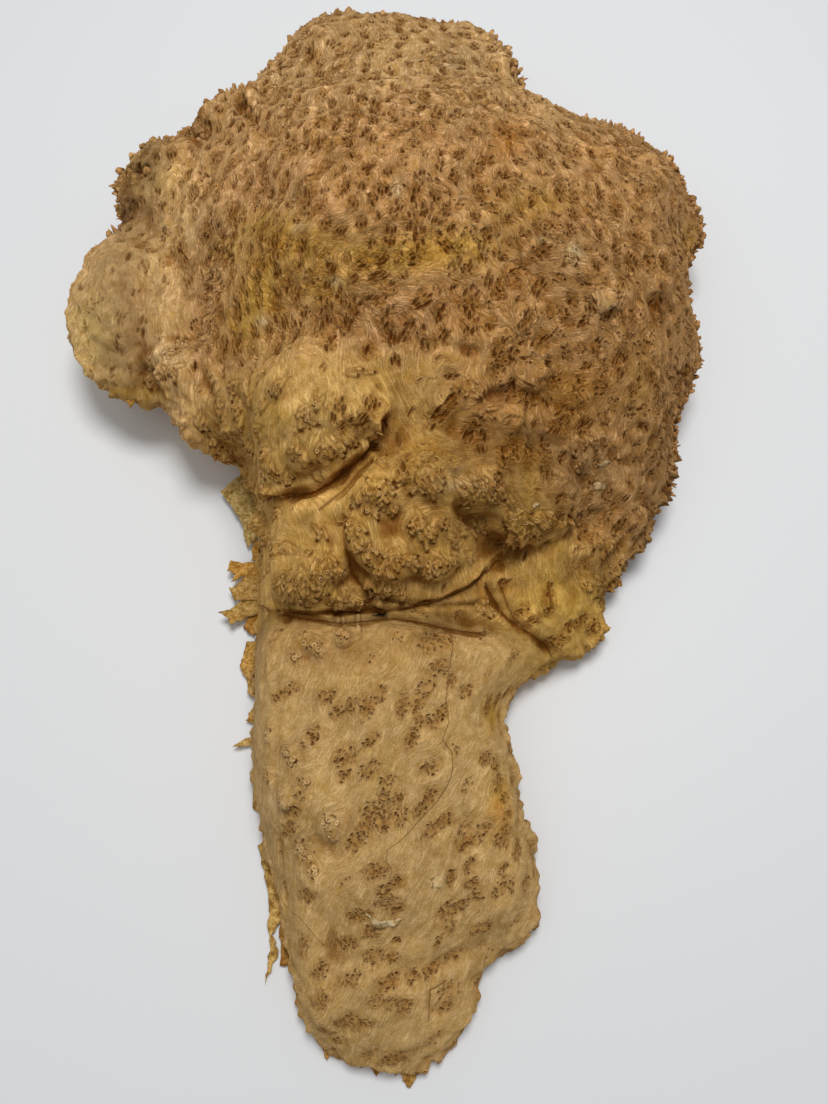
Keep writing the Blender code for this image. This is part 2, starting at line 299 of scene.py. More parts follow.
# Mounds: px, py, radius px, rise in steps of MOUND_STEP
MOUNDS = (
    (306, 412, 62, 4.0), (280, 385, 17, 2.0), (303, 418, 22, 3.0), (302, 450, 20, 2.5),
    (338, 410, 20, 2.0), (368, 412, 22, 3.0), (240, 425, 34, 3.0), (270, 470, 26, 2.5),
    (330, 448, 18, 2.0), (228, 455, 18, 2.0), (378, 495, 24, 4.0), (402, 467, 16, 3.0),
    (428, 470, 26, 4.0), (360, 540, 26, 4.0), (395, 562, 26, 4.5), (420, 528, 22, 3.5),
    (446, 528, 20, 3.0), (440, 565, 24, 3.5), (385, 590, 34, 2.5), (350, 598, 18, 2.5),
    (262, 525, 24, 3.0), (300, 508, 16, 1.5), (280, 550, 22, 2.5), (332, 565, 18, 3.0),
    (300, 585, 34, 4.5), (270, 590, 20, 2.5), (480, 490, 30, 4.5), (520, 520, 34, 5.0),
    (556, 515, 26, 3.5), (510, 450, 24, 3.0), (590, 450, 26, 3.0), (598, 545, 24, 2.5),
    (590, 590, 24, 2.5), (545, 610, 26, 2.0), (640, 520, 22, 2.5), (608, 302, 15, 3.0),
    (657, 302, 13, -2.5), (575, 345, 20, 1.5), (575, 262, 20, 2.0), (640, 240, 20, 2.0),
    (110, 320, 34, 3.0), (110, 270, 24, 2.0), (150, 190, 26, 2.5), (170, 376, 22, 6.5),
    (165, 354, 16, 4.5), (190, 430, 16, 3.0), (208, 114, 20, 3.5), (250, 94, 14, 2.5),
    (166, 152, 22, 3.5), (132, 190, 24, 4.0), (320, 42, 26, 3.5), (500, 62, 22, 3.0), (512, 415, 20, 3.0),
    (535, 372, 18, 2.0), (470, 395, 20, 1.5), (343, 637, 9, 3.0), (306, 640, 14, 2.0), (320, 652, 9, 1.5),
    (285, 800, 12, 2.0), (330, 828, 14, 2.0), (438, 882, 9, 0.9), (315, 870, 22, 2.0),
    (500, 800, 34, 2.0), (400, 985, 40, 2.5), (320, 1010, 26, 2.0), (500, 905, 30, 1.5),
    (350, 720, 50, 1.5), (430, 790, 50, 1.0), (560, 640, 18, 2.0), (600, 632, 14, 1.5),
)
# Routes in px that are both a fold and a dark line of painted shade along it
UNDER_FOLD = ((285, 616), (340, 624), (395, 619), (425, 624), (450, 630), (480, 634))
SIDE_FOLD = ((500, 584), (507, 605), (516, 622))
# Folds: half width px, depth mm, lip mm left of the route (below 0: none, runs down the wall), route
CREASES = (
    (2.8, 3.0, 1.6, (
        (236, 600), (262, 606), (300, 613), (340, 612), (380, 611), (410, 608), (440, 600), (470, 586),
        (500, 560))),
    (2.4, 2.0, 1.2, UNDER_FOLD),
    (3.0, 1.6, 0.6, ((420, 603), (448, 606), (475, 604))),
    (4.0, 2.6, 1.0, ((488, 588), (498, 610), (510, 622), (530, 634), (548, 650))),
    (3.5, 2.2, 0.8, SIDE_FOLD),
    (4.0, 4.0, 2.5, (
        (262, 496), (292, 497), (315, 491), (335, 480), (352, 466), (368, 450), (381, 434), (384, 418))),
    (3.5, 2.0, 0.8, ((322, 506), (342, 492), (356, 476), (370, 462))),
    (4.0, 2.5, 1.5, (
        (346, 520), (348, 550), (354, 575), (368, 592), (392, 600), (430, 600), (468, 586), (500, 568))),
    (5.0, 2.5, 0.0, ((352, 558), (364, 574), (384, 580), (410, 578), (434, 582), (460, 572))),
    (12.0, 4.0, 0.0, ((462, 512), (490, 535), (500, 556), (515, 552))),
    (10.0, 4.0, 0.0, ((515, 552), (545, 548), (575, 534), (604, 512))),
    (6.0, 2.5, 0.0, ((350, 500), (395, 512), (412, 545), (402, 520))),
    (5.0, 3.6, 0.0, ((480, 402), (494, 393), (512, 390), (532, 392), (546, 402))),
    (9.0, 2.5, 0.0, ((455, 428), (484, 440), (515, 446), (545, 440))),
    (5.0, 2.0, 0.0, ((384, 330), (430, 345), (475, 350))),
    (8.0, 3.0, 0.0, ((205, 290), (196, 330), (200, 372), (214, 404))),
    (11.0, 4.0, 0.0, ((139, 346), (141, 358), (144, 372), (150, 390))),
    (7.0, 3.0, 0.0, ((118, 232), (150, 246), (176, 262))),
    (5.0, 6.0, -1.0, ((141, 168), (144, 170))),
    (5.5, 7.0, -1.0, ((190, 137), (193, 140))),
    (4.5, 6.0, -1.0, ((241, 104), (244, 107))),
    (4.0, 5.0, -1.0, ((276, 66), (279, 69))),
    (7.0, 3.0, 0.0, ((236, 104), (262, 128), (300, 138))),
    (9.0, 2.5, 0.0, ((262, 96), (330, 104), (400, 108), (470, 100), (528, 98))),
    (4.0, 1.2, 0.0, ((286, 620), (280, 700), (275, 780), (280, 850), (285, 900))),
    (9.0, 2.0, 0.0, ((285, 960), (330, 955), (400, 968), (440, 962), (480, 945))),
    (3.0, 1.5, 0.0, ((430, 975), (428, 1000), (432, 1012))),
    (9.0, 2.0, 0.0, ((300, 900), (330, 925), (335, 960))),
)
WALL_BELOW = (0, 0.010, -0.030)  # from a notch to where it runs down the wall
# Cracks and dark lines along the folds: half width px, darkness, route. The lines along the folds are
# painted shade in the creases.
CRACKS_AND_FOLD_SHADE = (
    (0.55, 0.42, (
        (448, 632), (453, 645), (450, 665), (446, 700), (449, 722), (443, 740), (452, 752), (453, 770),
        (448, 785), (437, 802))),
    (0.5, 0.36, ((437, 802), (420, 820), (404, 838), (388, 850), (386, 862), (392, 870), (384, 897))),
    (0.6, 0.50, ((440, 985), (430, 990), (429, 1012))),
    (1.2, 0.65, (
        (240, 601), (262, 606), (300, 613), (340, 612), (380, 611), (410, 608), (440, 600), (470, 586),
        (495, 563))),
    (1.0, 0.60, UNDER_FOLD),
    (1.5, 0.80, ((300, 497), (322, 489), (338, 478), (354, 465), (368, 450), (380, 434), (384, 420))),
    (1.2, 0.60, ((262, 496), (300, 497))),
    (1.3, 0.65, ((346, 520), (347, 550), (353, 575), (368, 592), (392, 601), (430, 601), (462, 590))),
    (1.6, 0.65, ((486, 588), (498, 610), (510, 622), (530, 634), (548, 650))),
    (1.1, 0.50, ((326, 505), (342, 492), (356, 476), (370, 462))),
    (1.0, 0.45, SIDE_FOLD),
    (1.4, 0.70, ((549, 590), (551, 602))),
    (0.7, 0.25, ((272, 862), (276, 885), (284, 905), (300, 918), (318, 940))),
    (0.7, 0.25, ((258, 845), (266, 880), (270, 915))),
)


def landmark_relief(skin):
    """How far each point moves out of the skin for the mounds and the folds."""
    tree = skin.tree()
    push = np.zeros(len(skin.verts))
    for px, py, radius, rise in MOUNDS:
        spot = placed(tree, px, py)
        if spot is not None:
            share = np.clip(np.linalg.norm(skin.verts - spot, axis=1) / (radius * PX), 0, 1)
            push += rise * MOUND_STEP * (1 - share**2) ** 1.3
    seen = to_photo(skin.verts)
    for half, depth, lip, route in CREASES:
        spots = [(np.array(p, float), placed(tree, *p)) for p in route]
        spots = [s for s in spots if s[1] is not None]
        if lip < 0:
            pixel, spot = spots[0]
            below = tree.find_nearest(Vector(spot) + Vector(WALL_BELOW))[0]
            spots.insert(0, (pixel - 1, np.array(below)))
        nearest = np.full(len(skin.verts), 1.0)
        side = np.zeros(len(skin.verts))
        for (pa, a), (pb, b) in zip(spots, spots[1:]):
            apart = segment_distance(skin.verts, a, b)
            closer = apart < nearest
            nearest[closer] = apart[closer]
            way = (pb - pa) / np.linalg.norm(pb - pa)
            offset = seen[closer] - pa
            side[closer] = way[1] * offset[:, 0] - way[0] * offset[:, 1]
        width = half * PX
        push -= depth * MM * np.exp(-((nearest / width) ** 2))
        if lip > 0:
            ridge = np.exp(-(((nearest - 2.0 * width) / (1.6 * width)) ** 2))
            push += lip * MM * ridge * (side > 0)
    return push


def crack_and_fold_shade_columns(skin):
    """For each corner: distance to the nearest crack or fold line, with a sign, then its half width and
    darkness. The fold lines are painted shade.
    """
    tree = skin.tree()
    centres = skin.verts[skin.faces].mean(axis=1)
    normals = skin.normals()[skin.faces[:, 0]]
    corners = skin.verts[skin.faces]
    columns = np.tile([1.0, 1.0, 0.0], (*skin.faces.shape, 1))
    nearest = np.full(len(centres), 0.004)
    for half, darkness, route in CRACKS_AND_FOLD_SHADE:
        spots = [s for s in (placed(tree, *p) for p in route) if s is not None]
        for a, b in zip(spots, spots[1:]):
            apart = segment_distance(centres, a, b) - half * PX
            closer = np.flatnonzero(apart < nearest)
            nearest[closer] = apart[closer]
            across = unit(np.cross(b - a, normals[closer]))
            side = np.einsum("ijk,ik->ij", corners[closer] - a, across)
            columns[closer, :, 0] = side
            columns[closer, :, 1] = half * PX
            columns[closer, :, 2] = darkness
    return columns.reshape(-1, 3)


def kinds(points):
    """How far each point belongs to the dimpled head, the knobbed middle and the stem, from 0 to 1."""
    x, y = points[:, 0], points[:, 1]
    right, left = np.maximum(x - 0.050, 0), np.maximum(-x - 0.03, 0)
    stem = 1 - smoothstep(*STEM_EDGE, y + 0.25 * np.maximum(x - 0.055, 0))
    middle = 1 - smoothstep(*KNOB_EDGE, y + 1.4 * right - 0.10 * left)
    knobs = np.clip(middle - stem, 0, 1)
    return np.clip(1 - middle, 0, 1) * (1 - stem), knobs, stem


def quiet(points):
    """From 0 to 1, how much a place belongs to the smooth left lobe."""
    return smoothstep(0.105, 0.135, -points[:, 0]) * (1 - smoothstep(0.13, 0.16, points[:, 1]))


# What grows on the skin; across and along are directions over the half width and half length
# The stain of a cluster is how brown its eye is: partly its own colour, partly painted shade round its dip.
Cluster = namedtuple("Cluster", "place across along rise stain radius swirl")
Spot = namedtuple("Spot", "place across along depth darkness")
Growth = namedtuple("Growth", "place lean scale side")


def column(rows, name):
    return np.array([getattr(row, name) for row in rows])


def side_and_along(normal, angle):
    """Two unit directions in the surface. The second is turned by angle, in radians, from +Y towards +X."""
    heading = np.array([math.sin(angle), math.cos(angle), 0.0])
    along = heading - normal * (heading @ normal)
    if np.linalg.norm(along) < 0.25:
        along = np.array([0.0, 0.0, 1.0]) - normal * normal[2]
    along /= np.linalg.norm(along)
    return np.cross(along, normal), along


def slope_at(normal, upwards, turn):
    """Two unit directions in the surface. The second runs up or down the slope, turned a little."""
    along = np.array([0.0, 0.0, upwards]) - upwards * normal[2] * normal
    if np.linalg.norm(along) < 0.15:
        along = np.array([0.0, -1.0, 0.0]) + normal[1] * normal
    along /= np.linalg.norm(along)
    across = np.cross(along, normal)
    cos, sin = math.cos(turn), math.sin(turn)
    return across * cos - along * sin, along * cos + across * sin


def own_coordinates(spots, points, owner):
    """Place in the frame of each point's own spot, where 1 is its edge across and along."""
    place, across, along = (np.array([s[k] for s in spots])[owner] for k in range(3))
    away = points - place
    return dot(away, across), dot(away, along)


def owner_of(spots, points, candidates=4):
    """For each point the spot whose edge it is nearest to, measured in that one's own size."""
    tree = tree_of([s[0] for s in spots])
    found = np.array([[hit[1] for hit in tree.find_n(p, candidates)] for p in points.tolist()])
    best = np.full(len(points), np.inf)
    owner = found[:, 0].copy()
    for k in range(candidates):
        u, v = own_coordinates(spots, points, found[:, k])
        size = u * u + v * v
        nearer = size < best
        best[nearer] = size[nearer]
        owner[nearer] = found[nearer, k]
    return owner


class Details:
    """Clusters, the spots in them, ring-shaped pips, thorns and the pointed scales of the wall.

    A spot is a pit, or a curl that stands up if its depth and darkness are below 0.
    """

    def __init__(self, skin):
        self.clusters = []
        self.spots = []
        self.rings = []
        self.thorns = []
        self.scales = []
        self.tree = skin.tree()

    def seat(self, spot):
        """The nearest point of the skin and the direction out of it."""
        place, normal, _, _ = self.tree.find_nearest(Vector(spot))
        return np.array(place), np.array(normal)

    def open_outwards(self, place, normal):
        """Whether a place is on the outer wall, with nothing of the burl beside it."""
        return self.tree.ray_cast(Vector(place + 0.004 * normal), Vector(normal * (1, 1, 0)))[0] is None

    def cluster(self, place, normal, radius, angle, rise, stain, stretch, swirl):
        across, along = side_and_along(normal, angle)
        across, along = across * stretch / radius, along / (stretch * radius)
        self.clusters.append(Cluster(place, across, along, rise, stain, radius, swirl))

    def pit(self, spot, angle, half_width, half_length, depth, darkness):
        place, normal = self.seat(spot)
        across, along = side_and_along(normal, angle)
        self.spots.append(Spot(place, across / half_width, along / half_length, depth, darkness))

    def curl(self, spot, upwards, turn, half_width, half_length, height, hollow):
        """A short lock of fibres that ends in a raised tip. On the outer wall it may bear a scale."""
        place, normal = self.seat(spot)
        across, along = slope_at(normal, upwards, turn)
        self.spots.append(Spot(place, across / half_width, along / half_length, -height, -hollow))
        rear = smoothstep(0.05, 0.13, place[1])
        if upwards > 0 and rng.random() < 0.6 + 0.35 * rear and self.open_outwards(place, normal):
            lean = unit(normal + along * rng.uniform(0.0, 0.9) + across * rng.normal(0, 0.25))
            rearwards = smoothstep(-0.02, 0.10, place[1] - place[0])
            tall = rng.uniform(0.0010, 0.0026) + 0.0016 * rng.random() * rearwards
            tall += 0.0010 * rear * rng.random()
            width = half_width * rng.uniform(0.8, 1.3) * (1 + 0.4 * rear)
            foot = place + along * half_length * 0.4
            self.scales.append(Growth(foot, lean, (width, width * 0.5, tall), across))

    def slots(self, place, normal, radius, angle, count, rise, stain):
        """An eye with narrow pits side by side in a soft brown dip."""
        self.cluster(place, normal, radius, angle, rise, stain, rng.uniform(1.1, 1.5), rng.uniform(0, 0.25))
        side, along = side_and_along(normal, angle)
        rows = 1 if count < 4 else 2
        each = max(1, math.ceil(count / rows))
        step = min(0.0021, 1.7 * radius / each)
        for row in range(rows):
            for k in range(each):
                a = (k - (each - 1) / 2 + 0.4 * row) * step + rng.normal(0, 0.0003)
                b = (row - (rows - 1) / 2) * radius * 1.1 + rng.normal(0, radius * 0.3)
                half = rng.uniform(0.00040, 0.00088)
                turn = angle + rng.normal(0, 0.15) + 0.15 * a / radius
                long, deep = half * rng.uniform(2.2, 4.2), half * rng.uniform(1.0, 2.0)
                darkness = rng.uniform(0.7, 1.0) * min(1, stain + 0.4)
                self.pit(place + side * a + along * b, turn, half, long, deep, darkness)

    def holes(self, place, normal, radius, angle, count, rise, stain, size, swirl):
        """An eye with small round holes and short slots, strewn in a soft brown oval."""
        self.cluster(place, normal, radius, angle, rise, stain, rng.uniform(1.1, 1.5), swirl)
        side, along = side_and_along(normal, angle)
        for a, b in spread_in_disc(count, radius, 2.1 * size):
            half = size * rng.uniform(0.55, 1.25)
            spot = place + side * a * 0.8 + along * b * 1.2
            turn, long = angle + rng.normal(0, 0.5), half * rng.uniform(1.0, 2.4)
            self.pit(spot, turn, half, long, half * 1.2, rng.uniform(0.5, 1.0))

    def curls(self, place, normal, radius, count, rise, stain):
        """Locks of fibres crowded on a small swelling, their tips down the slope. Some are rings."""
        self.cluster(place, normal, radius * 1.15, 0.0, rise, stain, 1.0, 0.0)
        side, along = slope_at(normal, -1, 0.0)
        for a, b in spread_in_disc(count, radius * 0.85, 0.0016):
            width = rng.uniform(0.0006, 0.0013)
            spot = place + side * a + along * b * 1.7
            turn = rng.normal(0.25 * a / radius, 0.40)
            long, tall = width * rng.uniform(2.2, 4.4), width * rng.uniform(0.6, 1.3)
            self.curl(spot, -1, turn, width, long, tall, rng.uniform(0.6, 1.0))
        self.ring_pips(place, normal, radius * 0.9, max(1, count // 8), (0.0009, 0.0015), (0.4, 0.9))

    def ring_pips(self, place, normal, radius, count, sizes, heights):
        side, along = side_and_along(normal, 0.0)
        for a, b in spread_in_disc(count, radius, 2.0 * sizes[0]):
            seat, out = self.seat(place + side * a + along * b)
            lean = unit(out + (side * a + along * b) / radius * 0.4 + rng.normal(0, 0.12, 3))
            size = rng.uniform(*sizes)
            self.rings.append(Growth(seat, lean, (size, size, size * rng.uniform(*heights)), None))

    def oval_rings(self):
        """The rings, each made a little oval."""
        rows = []
        for ring, long in zip(self.rings, rng.uniform(0.9, 1.3, len(self.rings))):
            wide, deep, tall = ring.scale
            rows.append(ring._replace(scale=(wide * long, deep / long, tall)))
        return rows

    def thorn(self, place, radius, count):
        seat, normal = self.seat(place)
        side, along = side_and_along(normal, 0.0)
        for a, b in spread_in_disc(count, radius, 0.0016):
            spot, out = self.seat(seat + side * a + along * b)
            lean = unit(out * 0.8 + side * rng.normal(0, 0.45) + along * rng.normal(0, 0.45))
            width = rng.uniform(0.0004, 0.0008)
            self.thorns.append(Growth(spot, lean, (width, width, rng.uniform(0.0009, 0.0020)), None))


# Crowds of curls on the knobs: px, py, radius px
PIP_PATCHES = (
    (237, 410, 10), (250, 400, 8), (240, 426, 12), (225, 432, 10), (258, 432, 10), (215, 442, 9),
    (250, 452, 12), (228, 456, 10), (262, 456, 9), (273, 472, 9), (288, 478, 7), (262, 470, 7),
    (297, 450, 9), (303, 458, 7), (325, 450, 11), (338, 448, 10), (350, 440, 8), (240, 484, 9),
    (256, 481, 8), (264, 491, 7), (262, 512, 9), (258, 525, 9), (276, 515, 8), (266, 540, 10),
    (273, 551, 9), (285, 548, 7), (262, 560, 8), (270, 568, 9), (288, 576, 9), (278, 586, 10),
    (291, 592, 10), (302, 584, 11), (306, 598, 11), (315, 576, 10), (285, 602, 9), (322, 590, 8),
    (330, 565, 11), (336, 573, 8), (345, 598, 11), (335, 601, 9), (358, 604, 8), (372, 492, 10),
    (385, 487, 8), (383, 503, 9), (372, 509, 8), (392, 510, 7), (358, 500, 7), (402, 478, 7),
    (355, 531, 9), (349, 522, 7), (362, 550, 10), (373, 556, 9), (392, 563, 13), (405, 560, 9),
    (380, 573, 8), (415, 565, 8), (425, 462, 12), (433, 476, 12), (421, 481, 9), (432, 490, 8),
    (418, 526, 12), (430, 536, 10), (440, 522, 9), (452, 540, 9), (438, 565, 12), (452, 562, 9),
    (428, 571, 9), (370, 588, 10), (385, 591, 11), (401, 592, 9), (465, 490, 11), (478, 486, 11),
    (490, 487, 9), (500, 493, 9), (470, 503, 10), (490, 501, 10), (515, 506, 10), (510, 520, 10),
    (525, 520, 12), (540, 520, 10), (515, 535, 10), (535, 535, 10), (550, 520, 9), (578, 447, 10),
    (580, 465, 9), (591, 441, 9), (598, 541, 9), (610, 545, 8), (600, 581, 9), (585, 586, 8),
    (306, 637, 10), (316, 645, 8), (320, 653, 6), (343, 636, 6), (295, 655, 6), (283, 803, 9),
    (298, 797, 7), (305, 782, 7), (330, 822, 8), (333, 836, 6), (308, 855, 8), (300, 848, 7),
    (312, 868, 8), (285, 750, 6), (306, 745, 7), (292, 762, 6), (268, 735, 6), (268, 775, 6),
    (170, 355, 12), (160, 372, 10), (182, 345, 10), (180, 425, 10), (575, 245, 10), (571, 258, 9),
    (396, 187, 6), (152, 362, 8), (150, 380, 7), (176, 372, 8), (277, 388, 8), (303, 417, 11),
    (318, 402, 5),
)
# Groups of open pits: px, py, radius px, how many, turn in degrees clockwise from up the photograph
PIT_GROUPS = (
    (326, 697, 7, 3, 55), (337, 711, 6, 3, 40), (350, 705, 6, 2, 25), (368, 707, 9, 4, 30),
    (380, 695, 8, 3, 30), (402, 706, 7, 2, 20), (424, 722, 7, 3, 60), (437, 720, 7, 3, 50),
    (443, 710, 5, 2, 40), (313, 736, 7, 3, 35), (345, 757, 9, 4, 50), (369, 769, 8, 3, 45),
    (371, 741, 6, 2, 50), (412, 738, 7, 5, 20), (430, 768, 8, 4, 55), (388, 779, 6, 3, 60),
    (344, 776, 5, 2, 40), (374, 810, 9, 5, 55), (381, 800, 8, 4, 50), (366, 827, 8, 4, 45),
    (384, 822, 8, 5, 25), (400, 816, 8, 4, 15), (398, 798, 6, 2, 20), (430, 797, 7, 3, 30),
    (420, 811, 6, 3, 30), (434, 829, 8, 4, 50), (446, 820, 7, 3, 55), (465, 828, 7, 2, 40),
    (356, 842, 8, 5, 45), (466, 691, 7, 2, 60), (452, 679, 6, 2, 20), (440, 668, 9, 4, 70),
    (425, 690, 8, 4, 60), (421, 702, 7, 2, 45), (430, 640, 12, 5, 80), (445, 636, 8, 4, 75),
    (290, 691, 7, 2, 60), (277, 697, 5, 2, 50), (488, 706, 9, 6, 30), (497, 699, 7, 3, 60),
    (507, 693, 6, 2, 60), (514, 655, 6, 1, 70), (510, 750, 7, 4, 80), (486, 758, 6, 3, 60),
    (497, 764, 6, 3, 70), (500, 783, 8, 5, 40), (511, 778, 7, 4, 30), (505, 797, 6, 3, 60),
    (508, 815, 6, 2, 50), (482, 832, 8, 3, 45), (504, 838, 9, 5, 40), (466, 843, 7, 3, 50),
    (518, 850, 7, 4, 40), (531, 848, 6, 3, 20), (470, 866, 6, 3, 10), (452, 877, 5, 3, 20),
    (472, 884, 6, 3, 60), (476, 897, 6, 2, 60), (500, 889, 7, 3, 40), (512, 886, 5, 3, 0),
    (503, 870, 6, 3, 40), (526, 884, 7, 5, 20), (535, 871, 5, 2, 20), (446, 912, 8, 5, 50),
    (459, 908, 7, 4, 60), (451, 927, 5, 2, 40), (480, 930, 8, 4, 70), (438, 942, 4, 1, 10),
    (430, 970, 8, 3, 70), (413, 976, 7, 3, 60), (452, 956, 7, 2, 60), (390, 982, 8, 3, 70),
    (376, 955, 8, 3, 80), (391, 957, 6, 2, 70), (397, 940, 3, 1, 60), (371, 931, 7, 3, 70),
    (386, 904, 8, 4, 70), (397, 911, 5, 2, 40), (358, 916, 8, 4, 75), (345, 943, 8, 3, 80),
    (384, 891, 7, 3, 70), (375, 872, 8, 3, 80), (397, 882, 6, 2, 50), (306, 895, 8, 4, 60),
    (302, 945, 8, 2, 50), (320, 971, 8, 3, 60), (350, 979, 8, 2, 70), (450, 991, 9, 3, 80),
    (446, 1006, 7, 2, 80), (405, 1007, 7, 3, 60), (394, 1004, 7, 2, 70), (380, 1002, 7, 2, 80),
    (320, 1001, 8, 2, 60), (346, 1021, 8, 3, 60), (360, 1026, 7, 2, 60), (325, 1031, 7, 2, 70),
    (340, 1041, 6, 2, 70), (395, 1060, 9, 4, 60), (371, 1055, 7, 2, 60), (430, 1067, 5, 2, 60),
    (290, 812, 7, 2, 60), (287, 830, 7, 3, 50), (338, 410, 8, 4, 10), (345, 425, 7, 3, 30),
    (368, 413, 10, 6, 20), (374, 402, 7, 3, 10), (402, 464, 8, 3, 30), (515, 448, 11, 6, 10),
    (530, 456, 9, 4, 0), (505, 456, 8, 3, 0), (545, 450, 8, 3, 0), (562, 496, 8, 3, 60),
    (560, 520, 9, 5, 20), (573, 515, 7, 3, 20), (549, 594, 7, 1, 20), (522, 610, 6, 1, 60),
    (551, 611, 6, 2, 50), (532, 621, 6, 2, 70), (558, 642, 9, 5, 80), (582, 622, 7, 3, 70),
    (593, 627, 8, 4, 60), (570, 628, 6, 3, 60), (620, 525, 8, 3, 50), (605, 560, 8, 3, 60),
    (618, 505, 8, 3, 50), (612, 455, 8, 3, 40), (290, 110, 10, 6, 20), (355, 115, 9, 5, 10),
    (375, 106, 9, 4, 0), (372, 138, 6, 2, 0), (397, 132, 8, 3, 60), (318, 143, 9, 4, 10),
    (388, 171, 6, 2, 10), (367, 166, 8, 4, 20), (320, 168, 9, 3, 70), (383, 189, 6, 2, 0),
    (415, 194, 9, 3, 0), (435, 195, 7, 2, 0), (455, 176, 6, 2, 0), (343, 187, 7, 3, 10),
    (373, 197, 6, 2, 0), (353, 203, 6, 2, 0), (396, 208, 9, 4, 20), (306, 196, 10, 4, -10),
    (283, 186, 8, 3, 20), (232, 215, 12, 6, -30), (265, 210, 8, 4, 30), (247, 186, 8, 3, 0),
    (440, 216, 9, 4, 40), (452, 229, 6, 2, 20), (446, 244, 9, 4, -60), (412, 222, 9, 5, 0),
    (419, 238, 8, 4, 0), (390, 234, 8, 4, 0), (326, 223, 6, 2, 0), (361, 224, 6, 2, 0),
    (340, 231, 6, 2, 40), (302, 243, 8, 3, 0), (274, 247, 12, 6, 0), (262, 233, 8, 3, 10),
    (260, 262, 10, 5, 30), (231, 276, 8, 3, 20), (366, 262, 10, 4, 85), (377, 276, 9, 4, 70),
    (415, 257, 7, 2, 80), (288, 284, 8, 3, 10), (297, 294, 8, 3, 0), (325, 291, 10, 5, 20),
    (385, 293, 10, 4, 40), (350, 313, 10, 5, 20), (366, 301, 8, 3, 60), (325, 319, 12, 6, 0),
    (346, 326, 7, 3, 0), (275, 305, 11, 5, 10), (295, 331, 9, 4, 0), (330, 339, 8, 3, 0),
    (386, 319, 8, 3, 20), (392, 336, 8, 3, 0), (406, 328, 9, 5, 20), (421, 301, 8, 4, 60),
    (440, 312, 7, 3, 0), (443, 336, 7, 3, 20), (455, 286, 4, 1, 20), (468, 300, 11, 6, 20),
    (540, 151, 9, 4, -10), (505, 131, 12, 6, 10), (487, 160, 8, 3, 70), (505, 173, 8, 2, 70),
    (480, 190, 10, 5, 0), (500, 191, 8, 3, 10), (532, 201, 6, 2, 50), (509, 218, 6, 1, 70),
    (476, 216, 5, 2, 10), (490, 233, 9, 3, 50), (541, 251, 9, 4, 50), (518, 269, 9, 3, 70),
    (561, 190, 9, 4, 0), (575, 196, 8, 4, 0), (600, 193, 8, 4, 0), (575, 213, 8, 4, 20),
    (591, 212, 8, 4, 0), (570, 230, 8, 4, 20), (600, 232, 9, 5, 20), (615, 206, 9, 5, 0),
    (640, 211, 8, 4, 0), (622, 166, 11, 6, 0), (618, 246, 10, 5, 20), (632, 263, 10, 5, 20),
    (650, 262, 8, 4, 0), (665, 266, 8, 4, -10), (620, 282, 8, 3, 20), (655, 303, 12, 7, 10),
    (635, 315, 9, 4, 20), (585, 321, 5, 2, 30), (525, 320, 10, 5, 0), (500, 291, 8, 4, 20),
    (539, 286, 9, 5, 30), (470, 321, 11, 6, 0), (490, 326, 6, 2, 0), (500, 346, 8, 3, 30),
    (541, 341, 8, 3, 60), (500, 365, 9, 5, 20), (451, 376, 5, 1, 60), (512, 356, 7, 3, 10),
    (556, 380, 8, 4, 40), (588, 366, 4, 1, 60), (598, 346, 8, 4, 20), (601, 386, 8, 4, 30),
    (620, 362, 11, 6, 20), (565, 411, 10, 5, 60), (560, 426, 10, 5, 40), (585, 426, 8, 4, 40),
    (535, 425, 4, 1, 0), (450, 401, 10, 6, 30), (440, 416, 8, 4, 60), (480, 441, 8, 3, 0),
    (236, 344, 11, 6, 0), (222, 350, 8, 4, 10), (208, 260, 7, 2, 60), (218, 296, 7, 3, 30),
    (206, 231, 9, 3, 50), (180, 255, 12, 4, -30), (126, 182, 10, 4, 10), (135, 208, 8, 2, 60),
    (172, 153, 7, 2, 0), (255, 120, 9, 4, 0), (246, 141, 5, 2, 0), (300, 76, 6, 2, 0), (310, 56, 9, 4, 0),
    (370, 47, 6, 3, 0), (472, 430, 9, 5, 30), (548, 468, 9, 5, 10), (500, 482, 8, 4, 0),
    (528, 400, 7, 3, 20), (416, 30, 5, 2, 60), (426, 40, 6, 1, 10), (440, 78, 10, 5, 30),
    (480, 92, 9, 4, 20), (390, 78, 6, 2, 70), (350, 90, 8, 3, 0),
)
# Places where the fibres run in rings: px, py, radius px
WHORLS = (
    (608, 300, 15), (657, 299, 14), (521, 314, 12), (619, 247, 11), (602, 345, 11), (538, 373, 12),
    (445, 395, 12), (300, 345, 10),
)


